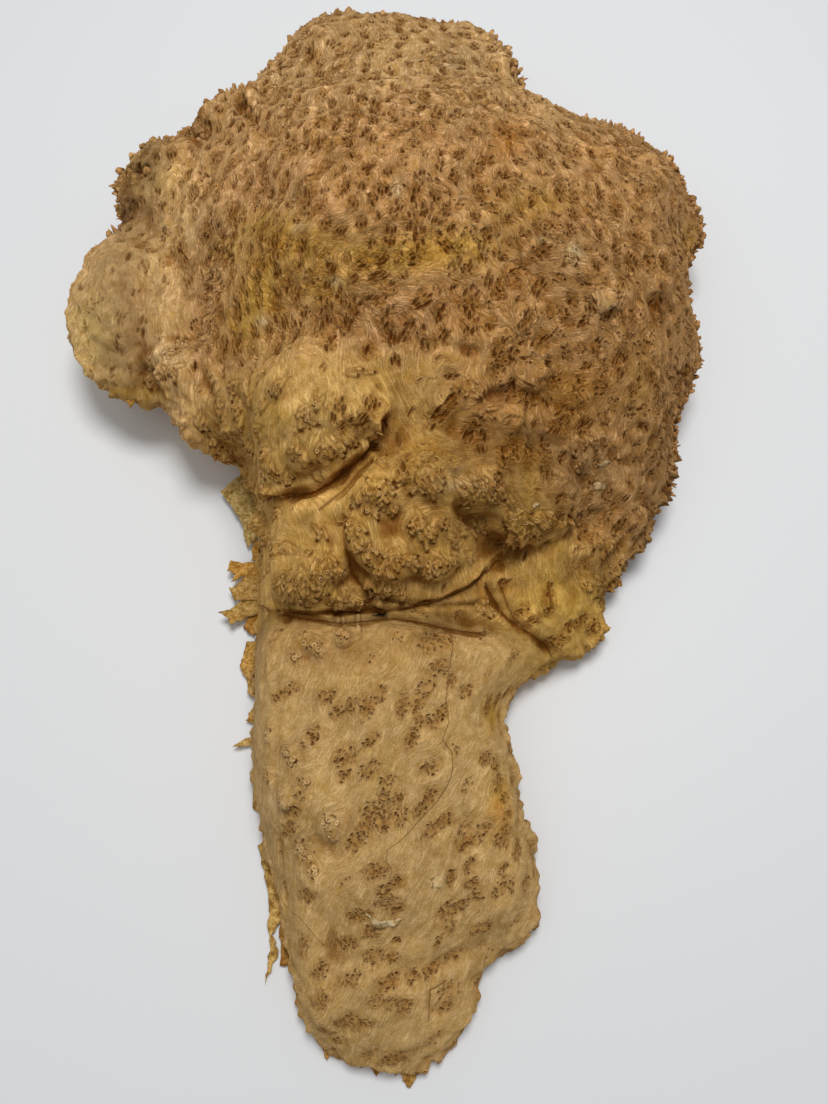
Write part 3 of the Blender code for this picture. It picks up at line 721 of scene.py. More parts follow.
def place_by_photo(made):
    """The crowds of curls, the groups of pits and the whorls where the photograph shows them."""
    for px, py, radius in PIP_PATCHES:
        spot = placed(made.tree, px, py)
        if spot is None:
            continue
        place, normal = made.seat(spot)
        reach = radius * PX
        if kinds(spot[None])[2][0] > 0.5:
            made.holes(place, normal, reach, 0.0, 4, 0.0015, 0.35, 0.0005, 0.8)
            made.ring_pips(place, normal, reach * 0.6, 3, (0.0010, 0.0019), (0.3, 0.6))
        else:
            count = max(3, round(radius * radius / 14))
            made.curls(place, normal, reach * 0.60, count, rng.uniform(0.0008, 0.0020), 0.55)
    for px, py, radius, count, degrees in PIT_GROUPS:
        spot = placed(made.tree, px, py)
        if spot is None:
            continue
        place, normal = made.seat(spot)
        reach, angle = radius * PX, math.radians(degrees)
        if kinds(spot[None])[2][0] > 0.5:
            stain = rng.uniform(0.5, 0.8)
            made.holes(place, normal, reach * 1.05, angle, 2 + 2 * count, -0.0006, stain, 0.00052, 0.2)
        elif px > ROUND_HOLES_PX and rng.random() < 0.6:
            stain, swirl = rng.uniform(0.7, 1.0), rng.uniform(0.4, 1.3)
            made.holes(place, normal, reach * 1.1, angle, 2 + 2 * count, -0.0014, stain, 0.00075, swirl)
        else:
            rise, stain = rng.uniform(-0.0018, -0.0008), rng.uniform(0.75, 1.0)
            made.slots(place, normal, reach * 1.15, angle * 0.8, count + 1, rise, stain)
    for px, py, radius in WHORLS:
        place, normal = made.seat(placed(made.tree, px, py))
        made.cluster(place, normal, radius * PX, 0.0, 0.0, 0.1, 1.0, 1.2)


def strew_eyes(made, points, normals, calm):
    """Random eyes and curls between those placed by the photograph, as each kind of surface has them."""
    head, knobs, stem = kinds(points)
    spacing = 0.0098 * head + 0.0150 * knobs + 0.0170 * stem + 0.0030 * calm
    spacing *= 1 + 0.35 * field(points, 0.025, 5, 1)
    allowed = (points[:, 2] > LOWEST_DETAIL) & (normals[:, 2] > -0.6)
    order = rng.permutation(np.flatnonzero(allowed))[:RANDOM_TRIES]
    taken = tree_of([c.place for c in made.clusters])
    order = [i for i in order.tolist() if taken.find(points[i])[2] > spacing[i]]
    for i in scatter(points.tolist(), order, spacing.tolist()):
        place, normal = points[i], normals[i]
        radius = rng.uniform(0.0030, 0.0068)
        mix = rng.random()
        if mix < head[i]:
            strength = rng.uniform(0.3, 0.9) * (1 - 0.65 * calm[i])
            if rng.random() < 0.15 + 0.7 * smoothstep(0.0, 0.06, place[0]):
                turn, count = rng.normal(0, 1.0), int(rng.integers(2, 10))
                swirl = rng.uniform(0.3, 1.2)
                made.holes(place, normal, radius, turn, count, -0.0018 * strength, strength, 0.0007, swirl)
            else:
                turn, count = rng.normal(0.05, 0.25), int(rng.integers(1, 7))
                made.slots(place, normal, radius, turn, count, -0.0019 * strength, strength)
        elif mix < head[i] + knobs[i]:
            if rng.random() < 0.3:
                made.curls(place, normal, radius, int(rng.integers(3, 9)), 0.0010, 0.4)
            else:
                turn, count = rng.normal(0.5, 0.5), int(rng.integers(1, 3))
                made.slots(place, normal, radius * 0.8, turn, count, -0.0003, 0.25)
        else:
            turn, count = rng.normal(0.75, 0.25), int(rng.integers(1, 8))
            stain = rng.uniform(0.15, 0.4)
            made.holes(place, normal, radius, turn, count, -0.0003, stain, 0.00045, 0.2)


def strew_thorns(made):
    for cluster in list(made.clusters):
        at = cluster.place[None]
        if rng.random() < 0.5 * kinds(at)[0][0] * (1 - quiet(at)[0]):
            made.thorn(cluster.place, cluster.radius * 1.3, int(rng.integers(1, 4)))


def cover_sides(made, points, normals, calm):
    """Curls with scales on the steep wall of the head, and narrow furrows down its shoulder."""
    facing = normals @ -camera_axes()[1]
    rough = (kinds(points)[0] > 0.5) & (calm < 0.4)
    wall = rough & (facing > -0.6) & (facing < 0.30) & (points[:, 2] > LOWEST_DETAIL)
    wall = np.flatnonzero(wall & (field(points, 0.02, 8, 1) > -0.3))
    spacing = [WALL_SPACING] * len(points)
    for i in scatter(points.tolist(), rng.permutation(wall).tolist(), spacing):
        width, turn = rng.uniform(0.0010, 0.0021), rng.normal(0, 0.22)
        long, tall = width * rng.uniform(2.4, 4.8), width * rng.uniform(0.8, 1.6)
        made.curl(points[i], 1, turn, width, long, tall, 0.5)
    shoulder = rough & (facing > 0.25) & (facing < 0.62) & (points[:, 2] > 0.012)
    chance = 0.35 + 0.65 * smoothstep(0.0, 0.15, points[:, 1] - points[:, 0])
    shoulder = np.flatnonzero(shoulder & (rng.random(len(points)) < chance))
    spacing = [SHOULDER_SPACING] * len(points)
    for i in scatter(points.tolist(), rng.permutation(shoulder).tolist(), spacing):
        width = rng.uniform(0.0005, 0.0009)
        turn = math.atan2(normals[i, 0], normals[i, 1]) + rng.normal(0, 0.12)
        long, deep = width * rng.uniform(3.5, 6.5), width * rng.uniform(1.2, 2.0)
        made.pit(points[i], turn, width, long, deep, rng.uniform(0.4, 0.9))


def grow_details(skin, normals):
    """Puts every detail on the skin: first what is placed by the photograph, then the rest at random."""
    made = Details(skin)
    calm = quiet(skin.verts)
    place_by_photo(made)
    strew_eyes(made, skin.verts, normals, calm)
    strew_thorns(made)
    cover_sides(made, skin.verts, normals, calm)
    return made


def crowded(skin, made):
    """Which faces lie at a curl or in an eye of the head, where the mesh has to be finer."""
    centres = skin.verts[skin.faces].mean(axis=1)
    fine = [c[:3] for c in made.clusters if abs(c.rise) > 0.0005]
    fine += [(s.place, s.across / 2, s.along / 1.5) for s in made.spots if s.depth < 0]
    u, v = own_coordinates(fine, centres, owner_of(fine, centres, 2))
    return np.hypot(u, v) < 1.05


def detail_relief(skin, made):
    """How far each point moves out of the skin for the clusters, the spots and the roughness."""
    points = skin.verts
    head, knobs, stem = kinds(points)
    owner = owner_of(made.clusters, points)
    u, v = own_coordinates(made.clusters, points, owner)
    push = column(made.clusters, "rise")[owner] * np.exp(-(u**2 + v**2) * 0.9)
    owner = owner_of(made.spots, points)
    u, v = own_coordinates(made.spots, points, owner)
    r = np.hypot(u, v)
    depth = column(made.spots, "depth")[owner]
    pit = np.maximum(depth, 0) * (-np.exp(-(r**2)) + 0.30 * np.exp(-(((r - 1.9) / 0.6) ** 2)))
    lock = np.clip(1.1 - u**2, 0, 1) ** 0.7 * smoothstep(-1.3, 0.4, v) * (1 - smoothstep(0.7, 1.05, v))
    tip = -0.35 * np.exp(-(((v - 1.25) / 0.3) ** 2) - 1.5 * u**2)
    push += pit + np.maximum(-depth, 0) * (lock + tip - 0.2)
    push += (0.00035 * head + 0.00025 * knobs + 0.00020 * stem) * field(points, 0.0045, 2, 2)
    coarse = 0.0012 * head + 0.0012 * knobs + 0.0008 * stem + 0.0006 * quiet(points)
    push += coarse * field(points, 0.018, 3, 2)
    push += (0.0013 * head + 0.0008 * knobs + 0.0004 * stem) * (billow(points, 0.014, 4) - 0.4)
    return push


class Teeth:
    """The ragged edge: where each tooth stands and which way it points."""

    def __init__(self, skin, normals):
        steady = skin.blurred(normals, 16)
        a, b = skin.edges.T
        turn = (steady[a, 2] > 0.02) != (steady[b, 2] > 0.02)
        rim = np.unique(skin.edges[turn].ravel())
        rim = rim[skin.verts[rim, 2] > 0.0015]
        self.rim = skin.verts[rim].copy()
        self.out = unit(steady[rim] * (1, 1, 0))
        on_head = self.rim[:, 1] > HEAD_EDGE_Y
        spacing = np.where(on_head, 0.0050, 0.0065)
        chosen = scatter(self.rim.tolist(), rng.permutation(len(rim)).tolist(), spacing.tolist())
        self.place, self.way = self.rim[chosen], self.out[chosen]
        patchy = 0.15 + 1.1 * np.clip(0.5 + field(self.place, 0.035, 33, 1), 0, 1)
        patchy *= 1 - 0.75 * quiet(self.place)
        self.size = rng.uniform(0.1, 1.2, len(chosen)) * np.where(on_head[chosen], 1.0, 0.3) * patchy
        self.rim_tree = tree_of(self.rim)

    def distance(self, points):
        return np.array([self.rim_tree.find(p)[2] for p in points.tolist()])

    def shift(self, points, normals):
        """How each point near the edge moves: pleats running in from the teeth, teeth pushed outwards."""
        away = self.distance(points)
        near = np.flatnonzero(away < 0.026)
        away = away[near]
        owner = nearest_of(self.place, points[near])
        way = self.way[owner]
        tangent = np.column_stack([-way[:, 1], way[:, 0]])
        lateral = np.abs(dot((points[near] - self.place[owner])[:, :2], tangent))
        ridge = np.clip(1 - lateral / 0.0028, 0, 1)
        size = self.size[owner]
        move = np.zeros_like(points)
        pleat = 0.0014 * size * (ridge - 0.45) * np.exp(-((away / 0.012) ** 2))
        outwards = (-0.0005 + 0.0014 * size * ridge) * np.exp(-((away / 0.0040) ** 2))
        waver = 0.0045 * field(points[near], 0.014, 31, 3) + 0.0012 * field(points[near], 0.004, 32, 1)
        outwards += waver * np.exp(-((away / 0.010) ** 2))
        move[near] = normals[near] * pleat[:, None] + way * outwards[:, None]
        return move


# Places where the fibres of the head run across it: px, py, radius across, radius down
CROSSWISE = ((385, 262, 90, 34), (575, 330, 85, 110), (520, 470, 90, 40))


def fibre_base(points):
    """The number that stays the same along each fibre, before any cluster bends the fibres."""
    x, y = points[:, 0], points[:, 1]
    stem = kinds(points)[2]
    seen = to_photo(points)
    across = smoothstep(0.14, 0.19, np.abs(x))
    for px, py, rx, ry in CROSSWISE:
        reach = ((seen[:, 0] - px) / rx) ** 2 + ((seen[:, 1] - py) / ry) ** 2
        across = np.maximum(across, np.exp(-reach))
    swirl = (0.015 * (1 - stem) + 0.009 * stem) * field(points, 0.055, 11, 2)
    upright = (x + 0.1 * y) * (1 - across) + (y - 0.2 * x) * across
    return swirl + upright * (1 - stem) + (0.75 * x - 0.45 * y) * stem


def grain_flow(points, made):
    """A number that stays the same along each fibre, in metres across the fibres.

    The fibres pass round the clusters, and circle those that have a swirl.
    """
    base = fibre_base(points)
    centres = column(made.clusters, "place")
    radii = column(made.clusters, "radius") * 1.1
    swirls = column(made.clusters, "swirl")
    step = 0.001
    changes = [fibre_base(centres + d) - fibre_base(centres - d) for d in np.eye(3) * step]
    slope = np.column_stack(changes) / (2 * step)
    tree = tree_of(centres)
    found = np.array([[hit[1] for hit in tree.find_n(p, 3)] for p in points.tolist()])
    for owner in found.T:
        away = points - centres[owner]
        reach = np.linalg.norm(away, axis=1) / radii[owner]
        share = 0.45 * np.minimum(1, 1 / np.maximum(reach, 1e-6) ** 2) * (1 - smoothstep(1.8, 3.0, reach))
        base = base - dot(away, slope[owner]) * share
        base += 1.6 * swirls[owner] * radii[owner] * np.exp(-((reach / 1.3) ** 2))
    return base


WOOD_TONES = ((0.64, 0.352, 0.145), (0.63, 0.368, 0.110), (0.605, 0.378, 0.148))  # of head, knobs and stem
REAR_TONE = (0.71, 0.435, 0.195)
LEFT_TONE = (0.80, 0.495, 0.215)
LOW_TONE = (0.70, 0.415, 0.110)
GOLD = (0.57, 0.325, 0.040)
ORANGE = (0.62, 0.25, 0.045)
CREAM = (0.78, 0.57, 0.30)
MAUVE = (0.44, 0.225, 0.110)
SHADE = (0.40, 0.190, 0.045)
GREY = (0.22, 0.160, 0.085)
# Brown of the eyes: partly their own stain, partly painted shade in and round their dips.
STAIN_AND_SHADE = (0.26, 0.088, 0.001)
EDGE_BROWN = (0.36, 0.17, 0.05)
# Painted shade: the near-black inside of the hole in the fold.
HOLE_SHADE = (0.012, 0.005, 0.002)
# Painted highlight: brightens the lower rim of the left lobe and the upper left of the head.
PALE_HIGHLIGHT = (1.0, 0.68, 0.27)
NEAR_DIP = (24, 0.0014)  # rounds of blur, depth
WIDE_DIP = (160, 0.0038)
# Painted shade in hollows, in two sizes, with a golden-brown cast.
NEAR_DIP_SHADE = (0.45, 0.25, 0.03)
WIDE_DIP_SHADE = (0.48, 0.34, 0.14)
# Patches of colour: px, py, radius across, radius down, colour, strength. The shade patches are painted
# shade; the pale patches painted highlight; the hole patch painted shade in a hole; the stain patches
# partly brown eyes and partly painted shade in their dips and in the valley left of the knob; the cream
# patches partly the wood's pale colour and partly painted highlight.
TINTS = (
    (300, 250, 60, 26, GOLD, 0.60), (395, 258, 62, 20, GOLD, 0.60), (460, 248, 42, 20, GOLD, 0.55),
    (262, 295, 26, 30, GOLD, 0.65), (245, 325, 20, 22, GOLD, 0.55), (520, 212, 30, 18, GOLD, 0.5),
    (272, 225, 30, 14, GOLD, 0.55), (325, 290, 30, 18, GOLD, 0.5), (430, 452, 22, 16, GOLD, 0.6),
    (122, 392, 26, 10, GOLD, 0.6), (470, 500, 24, 12, GOLD, 0.4), (225, 250, 14, 12, GOLD, 0.5),
    (500, 800, 12, 30, GOLD, 0.5), (490, 715, 10, 18, GOLD, 0.6), (530, 455, 12, 10, GOLD, 0.5),
    (550, 200, 30, 14, GOLD, 0.5), (560, 600, 50, 20, GOLD, 0.35), (640, 380, 14, 40, GOLD, 0.3),
    (690, 235, 12, 14, GOLD, 0.4), (240, 430, 24, 16, GOLD, 0.35), (508, 140, 18, 16, ORANGE, 0.75),
    (500, 812, 10, 16, ORANGE, 0.5), (470, 590, 40, 10, ORANGE, 0.3), (600, 150, 24, 8, ORANGE, 0.3),
    (400, 330, 40, 26, MAUVE, 0.5), (450, 300, 44, 24, MAUVE, 0.55), (560, 230, 44, 34, MAUVE, 0.35),
    (480, 400, 46, 30, MAUVE, 0.5), (340, 330, 34, 26, MAUVE, 0.35), (505, 408, 28, 16, MAUVE, 0.6),
    (517, 450, 30, 12, SHADE, 0.6), (590, 330, 40, 34, MAUVE, 0.3), (260, 180, 30, 16, MAUVE, 0.3),
    (330, 215, 40, 12, MAUVE, 0.25), (500, 465, 56, 32, SHADE, 0.6), (570, 540, 70, 46, SHADE, 0.45),
    (640, 430, 40, 70, SHADE, 0.35), (540, 400, 60, 40, SHADE, 0.6), (440, 500, 24, 40, SHADE, 0.3),
    (405, 535, 60, 50, SHADE, 0.3), (500, 430, 60, 40, SHADE, 0.4), (560, 300, 120, 60, SHADE, 0.3),
    (250, 470, 20, 60, SHADE, 0.2), (360, 645, 110, 34, SHADE, 0.42), (230, 350, 26, 16, SHADE, 0.4),
    (300, 200, 16, 10, SHADE, 0.3), (260, 240, 18, 12, SHADE, 0.4), (470, 310, 60, 26, SHADE, 0.35),
    (300, 228, 7, 5, CREAM, 0.8), (262, 322, 6, 5, CREAM, 0.8), (333, 282, 6, 5, CREAM, 0.8),
    (397, 190, 8, 8, CREAM, 0.6), (575, 250, 9, 13, CREAM, 0.8), (543, 240, 6, 6, CREAM, 0.6),
    (280, 803, 9, 10, CREAM, 0.6), (330, 822, 8, 8, CREAM, 0.5), (164, 350, 14, 14, CREAM, 0.6),
    (90, 340, 26, 44, PALE_HIGHLIGHT, 0.8), (90, 345, 26, 40, GOLD, 0.15), (150, 396, 30, 12, GOLD, 0.5),
    (125, 285, 24, 24, MAUVE, 0.15), (380, 614, 7, 2.8, HOLE_SHADE, 2.0), (155, 180, 36, 30, PALE_HIGHLIGHT, 0.4),
    (220, 112, 44, 20, EDGE_BROWN, 0.2), (360, 30, 90, 14, EDGE_BROWN, 0.25),
    (570, 400, 34, 30, SHADE, 1.2), (300, 400, 60, 50, CREAM, 0.08), (600, 460, 50, 50, CREAM, 0.10),
    (390, 572, 40, 14, SHADE, 0.5), (215, 235, 34, 30, CREAM, 0.18), (480, 440, 50, 30, MAUVE, 0.2),
    (438, 882, 7, 7, CREAM, 0.6), (465, 485, 30, 8, CREAM, 0.35), (608, 302, 11, 10, CREAM, 0.45),
    (437, 312, 6, 8, GREY, 0.7), (435, 195, 5, 8, GREY, 0.7), (428, 462, 8, 7, GREY, 0.6),
    (458, 470, 10, 6, GREY, 0.5), (455, 62, 20, 16, GREY, 0.4), (490, 232, 12, 7, GREY, 0.6),
    (300, 196, 8, 12, GREY, 0.5), (657, 302, 11, 9, STAIN_AND_SHADE, 0.75), (138, 368, 12, 18, STAIN_AND_SHADE, 0.5),
    (135, 330, 20, 30, MAUVE, 0.2), (277, 388, 7, 6, GREY, 0.4), (303, 417, 9, 8, GREY, 0.4),
)


def dip(skin, rounds, depth):
    """How far each point lies below the mean of its surroundings, as a share of depth."""
    wide = skin.blurred(skin.verts, rounds)
    return dot(wide - skin.verts, skin.normals()) / depth


def wood_colours(skin, made, flow, rim_distance):
    """The colour of each point, and how far it is in an eye."""
    points = skin.verts
    weights = kinds(points)
    colour = sum(weight[:, None] * np.array(tone) for weight, tone in zip(weights, WOOD_TONES))
    x, y = points[:, 0], points[:, 1]

    def blend(share, tint):
        share = share[:, None]
        return colour * (1 - share) + share * np.array(tint)

    colour = blend(smoothstep(0.13, 0.26, y) * (1 - smoothstep(0.10, 0.20, x)), REAR_TONE)
    colour = blend(quiet(points), LEFT_TONE)
    low = smoothstep(0.05, 0.10, x) * (1 - smoothstep(-0.10, -0.04, y)) * smoothstep(-0.17, -0.14, y)
    colour = blend(low, LOW_TONE)
    streaks = field(np.column_stack([flow * 9, y, points[:, 2]]), 0.030, 24, 2)
    mottle = 0.12 * field(points, 0.030, 21, 3)
    mottle += 0.13 * field(points, 0.009, 26, 2) * (weights[0] + 0.5 * weights[1])
    colour = colour * (1 + mottle + 0.10 * streaks)[:, None]
    seen = to_photo(points)
    for px, py, rx, ry, tint, strength in TINTS:
        reach = ((seen[:, 0] - px) / rx) ** 2 + ((seen[:, 1] - py) / ry) ** 2
        colour = blend(np.clip(strength * np.exp(-reach) * (1 + 0.9 * streaks), 0, 1), tint)
    patches = 0.30 * smoothstep(0.2, 0.7, field(points, 0.028, 22, 2))
    colour = blend(patches * (weights[1] + 0.4 * weights[2]), GOLD)
    owner = owner_of(made.clusters, points)
    u, v = own_coordinates(made.clusters, points, owner)
    # Eyes browned: partly their stain, partly painted shade in and round their dips.
    stain = column(made.clusters, "stain")[owner]
    share = np.hypot(u, v) * (1 + 0.40 * field(points, 0.0045, 23, 2))
    eye = np.clip(stain * np.exp(-((share * 0.88) ** 2.8)), 0, 1)
    colour = blend(0.80 * eye, STAIN_AND_SHADE)
    # Painted shade: darker and more golden brown where the skin lies below its surroundings.
    near, wide = dip(skin, *NEAR_DIP), dip(skin, *WIDE_DIP)
    for below, strength, tint in ((near, 0.65, NEAR_DIP_SHADE), (wide, 0.55, WIDE_DIP_SHADE)):
        deep = strength * smoothstep(0.0, 1.1, below)[:, None]
        colour *= (1 - deep) + deep * np.array(tint)
    # Painted highlight: lighter on the crests.
    crest = smoothstep(0.1, 1.2, -near) + 0.6 * smoothstep(0.1, 1.2, -wide)
    colour *= (1 + 0.12 * crest)[:, None]
    return blend(0.40 * (1 - smoothstep(0.001, 0.008, rim_distance)), EDGE_BROWN), eye


# Materials
# LIP_COLOUR is painted highlight, GROOVE_COLOUR painted shade, and DARK_COLOUR the dark of pits, cracks and
# hollows, partly painted shade.
LIP_COLOUR = (0.78, 0.53, 0.24, 1)
WALL_COLOUR = (0.62, 0.37, 0.12, 1)
GROOVE_COLOUR = (0.20, 0.085, 0.016, 1)
DARK_COLOUR = (0.135, 0.031, 0.0, 1)
# FOOT_COLOUR is painted shade at the feet of growths and in the holes of the rings.
FOOT_COLOUR = (0.10, 0.040, 0.008, 1)
DULL = 0.04  # how strongly raw wood reflects


class Nodes:
    """Short ways to add and join shader nodes."""

    def __init__(self, name):
        self.material = bpy.data.materials.new(name)
        self.material.use_nodes = True
        self.tree = self.material.node_tree
        self.shader = self.tree.nodes["Principled BSDF"]

    def link(self, source, socket):
        self.tree.links.new(source, socket)

    def feed(self, node, index, value):
        if isinstance(value, bpy.types.NodeSocket):
            self.link(value, node.inputs[index])
        else:
            node.inputs[index].default_value = value

    def attribute(self, name, output="Fac"):
        node = self.tree.nodes.new("ShaderNodeAttribute")
        node.attribute_name = name
        return node.outputs[output]

    def math(self, operation, *values):
        node = self.tree.nodes.new("ShaderNodeMath")
        node.operation = operation
        for i, value in enumerate(values):
            self.feed(node, i, value)
        return node.outputs[0]

    def chain(self, operation, values):
        """The operation on the first two values, then on its result and the next value, and so on."""
        result = values[0]
        for value in values[1:]:
            result = self.math(operation, result, value)
        return result

    def plus(self, *values):
        return self.chain("ADD", values)

    def times(self, *values):
        return self.chain("MULTIPLY", values)

    def minus(self, first, second):
        return self.math("SUBTRACT", first, second)

    def vector(self, x, y, z):
        node = self.tree.nodes.new("ShaderNodeCombineXYZ")
        for i, value in enumerate((x, y, z)):
            self.feed(node, i, value)
        return node.outputs[0]

    def split(self, vector):
        node = self.tree.nodes.new("ShaderNodeSeparateXYZ")
        self.link(vector, node.inputs[0])
        return node.outputs

    def position(self):
        return self.tree.nodes.new("ShaderNodeTexCoord").outputs["Object"]

    def noise(self, vector, scale, detail, roughness):
        node = self.tree.nodes.new("ShaderNodeTexNoise")
        self.link(vector, node.inputs["Vector"])
        node.inputs["Scale"].default_value = scale
        node.inputs["Detail"].default_value = detail
        node.inputs["Roughness"].default_value = roughness
        return node.outputs["Fac"]

    def voronoi(self, vector, scale):
        node = self.tree.nodes.new("ShaderNodeTexVoronoi")
        self.link(vector, node.inputs["Vector"])
        node.inputs["Scale"].default_value = scale
        return node.outputs["Distance"]

    def ramp(self, value, low, high, at_low=0.0, at_high=1.0):
        """A smooth step of value from at_low to at_high."""
        node = self.tree.nodes.new("ShaderNodeMapRange")
        node.interpolation_type = "SMOOTHSTEP"
        self.feed(node, 0, value)
        for i, number in enumerate((low, high, at_low, at_high)):
            self.feed(node, i + 1, number)
        return node.outputs[0]

    def mix(self, share, first, second, blend="MIX"):
        node = self.tree.nodes.new("ShaderNodeMix")
        node.data_type = "RGBA"
        node.blend_type = blend
        node.clamp_factor = True
        self.feed(node, 0, share)
        self.feed(node, 6, first)
        self.feed(node, 7, second)
        return node.outputs[2]

    def warmed(self, wood, tone, blue):
        """The wood times tone, with its green changed more than its red, and its blue as given."""
        return self.mix(1.0, wood, self.vector(tone, self.math("POWER", tone, 1.3), blue), "MULTIPLY")

    def complete(self, colour, roughness, height, distance, strength):
        """Feeds the shader its colour and roughness, and a bump of that height and distance."""
        node = self.tree.nodes.new("ShaderNodeBump")
        node.inputs["Strength"].default_value = strength
        node.inputs["Distance"].default_value = distance
        self.link(height, node.inputs["Height"])
        self.link(node.outputs[0], self.shader.inputs["Normal"])
        self.link(colour, self.shader.inputs["Base Color"])
        self.feed(self.shader, "Roughness", roughness)
        return self.material


def eye_cells(n, cell, ragged, eye):
    """Dark cells and paler walls between them, in the eyes."""
    in_eye = n.ramp(eye, 0.12, 0.45)
    cells = n.times(n.ramp(n.plus(cell, n.times(ragged, 0.35)), 0.30, 0.75, 1.0, 0.0), in_eye, 0.42)
    return cells, n.times(n.ramp(cell, 0.50, 0.85), in_eye, 0.18)


def spot_marks(n, ragged, hairs):
    """The mouth and the lip of a pit, then the hollow, the groove and the crown of a curl. The lip and the
    crown are painted highlight, the hollow and the groove painted shade, and the mouth the pit's dark,
    partly painted shade.
    """
    u, v, kind = n.split(n.attribute("spot", "Vector"))
    radius = n.math("SQRT", n.plus(n.times(u, u), n.times(v, v)))
    jitter = n.minus(ragged, 0.5)
    wobble = n.plus(radius, n.times(jitter, 1.1))
    is_curl = n.math("LESS_THAN", kind, 0.0)
    is_pit = n.minus(1.0, is_curl)
    strength = n.math("ABSOLUTE", kind)
    wide = n.math("ABSOLUTE", u)
    hairy = n.ramp(hairs, 0.35, 0.65, 1.0, 0.75)
    mouth = n.times(n.ramp(wobble, 0.25, 1.30, 1.0, 0.0), strength, is_pit, hairy)
    lip = n.times(n.ramp(wobble, 1.0, 1.4), n.ramp(wobble, 1.5, 2.3, 1.0, 0.0), is_pit)
    tip = n.ramp(n.plus(v, n.times(jitter, 0.6)), 0.62, 0.95)
    below = n.ramp(v, 1.1, 1.5, 1.0, 0.0)
    hollow = n.times(tip, below, n.ramp(wide, 0.5, 1.2, 1.0, 0.0), strength, is_curl)
    groove = n.times(n.ramp(wobble, 0.75, 1.15), n.ramp(wobble, 1.5, 2.2, 1.0, 0.0), is_curl)
    ridge = n.ramp(wide, 0.1, 0.8, 1.0, 0.0)
    crown = n.times(n.ramp(v, -0.4, 0.35), n.ramp(v, 0.5, 0.8, 1.0, 0.0), ridge, is_curl)
    return mouth, lip, hollow, groove, crown


# Dark lines: the cracks' own dark, and painted shade along the folds.
def crack_and_fold_shade_mark(n, ragged):
    side, half, darkness = n.split(n.attribute("crack_and_fold_shade", "Vector"))
    away = n.math("DIVIDE", n.math("ABSOLUTE", side), half)
    away = n.plus(away, n.times(n.minus(ragged, 0.5), 0.8))
    return n.times(n.ramp(away, 0.3, 1.3, 1.0, 0.0), darkness)


def skin_material():
    n = Nodes("burl_skin")
    wood = n.attribute("wood", "Color")
    place = n.position()
    x, y, z = n.split(place)
    fibre, eye, fur = n.split(n.attribute("fibre", "Vector"))
    lengthways = n.minus(y, z)
    crossways = n.plus(x, z)

    def along_fibres(across, along):
        return n.vector(n.times(fibre, across), n.times(lengthways, along), n.times(crossways, along))

    hairs = n.noise(along_fibres(1250.0, 120.0), 1.0, 3.0, 0.6)
    strands = n.noise(along_fibres(560.0, 80.0), 1.0, 2.0, 0.55)
    line = n.ramp(n.math("ABSOLUTE", n.minus(hairs, 0.5)), 0.0, 0.06, 1.0, 0.0)
    speckle = n.noise(place, 1300.0, 2.0, 0.6)
    blotch = n.noise(place, 190.0, 3.0, 0.65)
    ragged = n.noise(place, 900.0, 2.0, 0.6)
    cells, walls = eye_cells(n, n.voronoi(along_fibres(780.0, 420.0), 1.0), ragged, eye)
    mouth, lip, hollow, groove, crown = spot_marks(n, ragged, hairs)
    # Dark marks: cells of the eyes, mouths of pits, cracks and hollows under curl tips. The mouths and
    # hollows are partly painted shade, the lines along folds painted shade.
    dark = n.chain("MAXIMUM", (cells, mouth, crack_and_fold_shade_mark(n, ragged), hollow))

    tone = n.times(n.ramp(hairs, 0.30, 0.70, 0.78, 1.20), n.ramp(strands, 0.3, 0.7, 0.90, 1.10))
    tone = n.times(tone, n.minus(1.0, n.times(line, 0.20)))
    tone = n.plus(1.0, n.times(n.minus(tone, 1.0), fur))
    tone = n.times(tone, n.ramp(blotch, 0.3, 0.7, 0.88, 1.12), n.ramp(speckle, 0.3, 0.7, 0.90, 1.08))
    colour = n.warmed(wood, tone, n.math("POWER", tone, n.ramp(tone, 0.8, 1.2, 2.6, 1.6)))
    # Painted highlight on the lips of pits and the crowns of curls.
    colour = n.mix(n.math("MAXIMUM", n.times(lip, 0.12), n.times(crown, 0.26)), colour, LIP_COLOUR)
    colour = n.mix(walls, colour, WALL_COLOUR)
    # Painted shade in the grooves round curls.
    colour = n.mix(n.times(groove, 0.46), colour, GROOVE_COLOUR)
    colour = n.mix(n.times(dark, 0.92), colour, DARK_COLOUR)

    height = n.plus(n.times(strands, 0.5), n.times(blotch, 0.7), n.times(hairs, 0.7))
    height = n.minus(height, n.times(line, 0.22))
    height = n.plus(n.times(height, n.ramp(fur, 0.0, 1.0, 0.3, 1.0)), n.times(speckle, 0.15))
    height = n.plus(n.minus(height, n.times(dark, 1.1)), n.times(lip, 0.3))
    n.shader.inputs["Specular IOR Level"].default_value = DULL
    return n.complete(colour, n.ramp(dark, 0.0, 0.8, 0.68, 0.9), height, 0.0011, 1.0)


def sawn_material():
    n = Nodes("sawn_face")
    place = n.position()
    x, y, _ = n.split(place)
    rings = n.noise(place, 28.0, 4.0, 0.6)
    eyes = n.voronoi(place, 120.0)
    marks = n.noise(n.vector(n.times(x, 8.0), n.times(y, 700.0), 0.0), 1.0, 2.0, 0.6)
    colour = n.mix(n.ramp(rings, 0.35, 0.65), (0.34, 0.15, 0.06, 1), (0.50, 0.27, 0.12, 1))
    colour = n.mix(n.ramp(eyes, 0.10, 0.28, 0.7, 0.0), colour, (0.13, 0.045, 0.018, 1))
    colour = n.mix(n.ramp(marks, 0.35, 0.7, 0.0, 0.25), colour, (0.20, 0.09, 0.035, 1))
    return n.complete(colour, 0.7, marks, 0.0003, 0.6)


